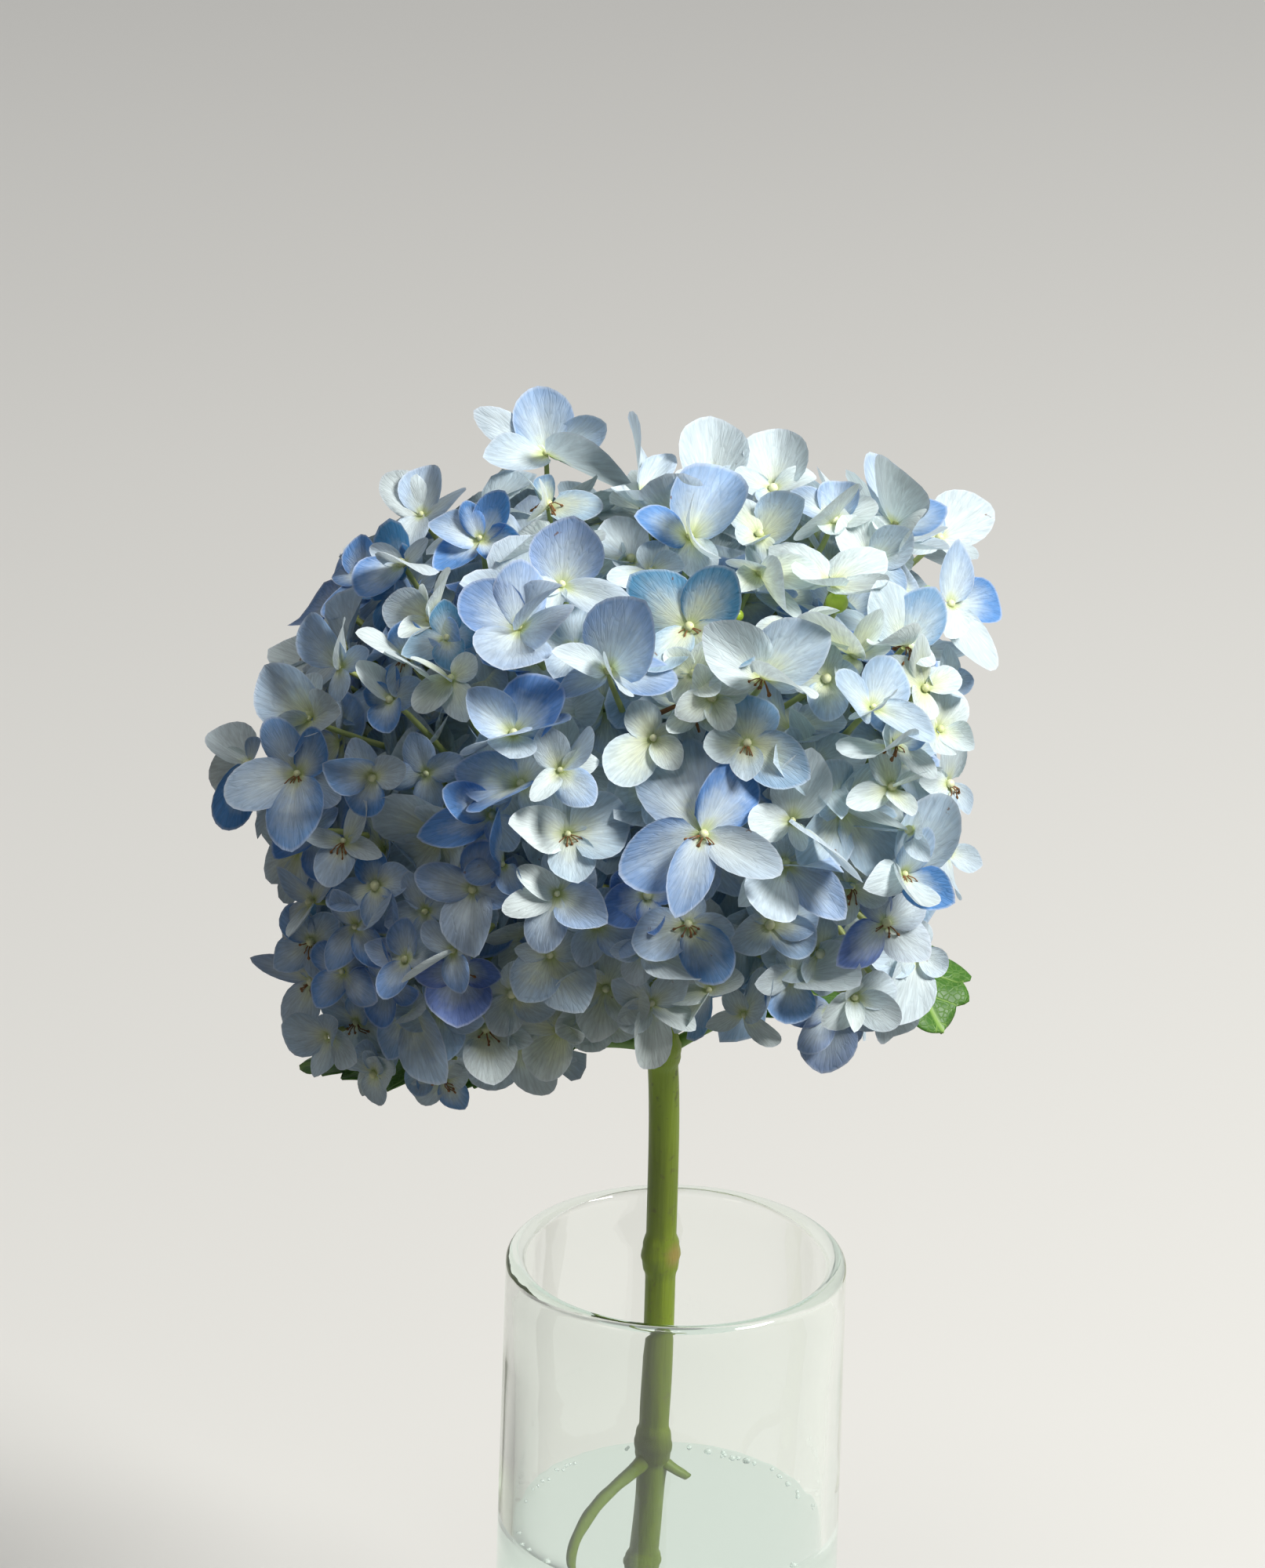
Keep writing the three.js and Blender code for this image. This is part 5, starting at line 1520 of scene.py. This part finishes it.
STAMEN_EVERY, STAMENS_EACH, THREAD_SIDES = 4, 6, 5
STAMEN_RADIUS, ANTHER_RADIUS = 0.00016, 0.00042
DEAD_RADIUS, DEAD_TAPER = 0.0007, 0.00003
DEAD_STALKS = [
    ((10, 10, 8), (16, 12, 5), (21, 8.5, 5)),
    ((14, 6, 9), (19, 9.5, 6), (25, 9, 8)),
    ((17, 14, 9), (18.5, 10, 5), (20, 5, 8)),
]
thread_strands = ([], [], [])
for number in range(2, len(SEEN_FLORETS), STAMEN_EVERY):
    centre, axis = centres[number]
    down = (-view_up + view_up.dot(axis) * axis).normalized()
    aside = down.cross(axis)
    for at in range(STAMENS_EACH):
        reach = 0.001 * between(2.6, 5.0, number, 120 + at)
        turn = between(-1.3, 1.3, number, 130 + at)
        outward = math.cos(turn) * down + math.sin(turn) * aside
        start = centre + 0.0011 * axis
        bend = start + 0.5 * reach * outward + 0.0014 * axis
        tip = start + reach * outward + 0.0006 * between(-1, 2, number, 140 + at) * axis
        path = [start, bend, start.lerp(tip, 0.85) + 0.0004 * axis, tip, tip + 0.0004 * outward]
        add_strand(thread_strands, path, [*[STAMEN_RADIUS] * 3, ANTHER_RADIUS, STAMEN_RADIUS])
for corners in DEAD_STALKS:
    path = smooth_path([seen_at(*corner) for corner in corners], 12)
    add_strand(thread_strands, path, [DEAD_RADIUS - DEAD_TAPER * at for at in range(len(path))])

# Dry plant fibre: dull, mottled from dark brown to tan.
dry_finish, tree, place = new_finish("withered_stamen")
brown = mix(tree, noise(tree, place, 600, 3), "#4a2c17", "#96693a")
show(tree, add(tree, "ShaderNodeBsdfPrincipled", {"Base Color": brown, "Roughness": 0.8}))

threads = grown_strands("withered_stamens", thread_strands, THREAD_SIDES, dry_finish)
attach(threads, "root")

# ---- Floor and light ----------------------------------------------------------------------
# A plain pale studio: one sheet of matt floor that glows faintly where it is seen, as painted
# light, a large soft lamp to the upper right, weak ones from above and from the left, and a
# pale grey surround.

FLOOR_HALF = 15
FLOOR_PAINTED_GLOW = 0.22  # the floor glows faintly where it is seen, as painted light, so the far floor stays pale
floor_finish, tree, place = new_finish("matt_pale_floor")
pale = mix(tree, noise(tree, place, 1.5, 1), "#b4b3b0", "#b9b8b5")
# Light that bounces off it is dimmed, as if by black card laid just outside the picture.
bounced = add(tree, "ShaderNodeLightPath").outputs["Is Diffuse Ray"]
matt = {
    "Base Color": mix(tree, bounced, pale, "#605f5c"),
    "Roughness": 0.9,
    # Painted light: the floor glows a little where it is seen, but not for light that bounces off it.
    "Emission Color": "#f2f1ee",
    "Emission Strength": ramp(tree, bounced, 0, 1, FLOOR_PAINTED_GLOW, 0),
}
show(tree, add(tree, "ShaderNodeBsdfPrincipled", matt))
floor_corners = [
    (side * FLOOR_HALF, end * FLOOR_HALF, 0) for side, end in ((-1, -1), (1, -1), (1, 1), (-1, 1))
]
floor = object_from("studio_floor", floor_corners, [(0, 1, 2, 3)], floor_finish, smooth=False)

PALE_AS_SEEN = 0.85  # how bright the walls of the studio look in glass and behind the object
PALE_AS_LIGHT = 0.037  # and how much of their light reaches it
surround = bpy.data.worlds.new("pale_surround")
bpy.context.scene.world = surround
surround.use_nodes = True
sky_tree = surround.node_tree
sky_tree.nodes.clear()
bounced = add(sky_tree, "ShaderNodeLightPath").outputs["Is Diffuse Ray"]
strength = ramp(sky_tree, bounced, 0, 1, PALE_AS_SEEN, PALE_AS_LIGHT)
sky = add(sky_tree, "ShaderNodeBackground", {"Color": "#e9ebee", "Strength": strength})
add(sky_tree, "ShaderNodeOutputWorld", {"Surface": sky.outputs[0]})


def soft_lamp(name, place, size, watts, colour):
    """A round lamp aimed at the lower half of the head."""
    lamp = bpy.data.lights.new(name, "AREA")
    lamp.shape = "DISK"
    lamp.size = size
    lamp.energy = watts
    lamp.color = linear(colour)[:3]
    holder = bpy.data.objects.new(name, lamp)
    holder.location = place
    holder.rotation_euler = (Vector((0, 0, 0.30)) - Vector(place)).to_track_quat("-Z", "Y").to_euler()
    bpy.context.collection.objects.link(holder)


soft_lamp("key_lamp", (2.00, -0.80, 2.62), 1.25, 180, "#fffefa")
soft_lamp("top_lamp", (-0.3, -0.7, 2.5), 0.8, 11, "#fffdf8")
soft_lamp("fill_lamp", (-1.5, -1.6, 1.2), 0.7, 2, "#fff6ea")

bpy.context.scene.view_settings.view_transform = "Standard"
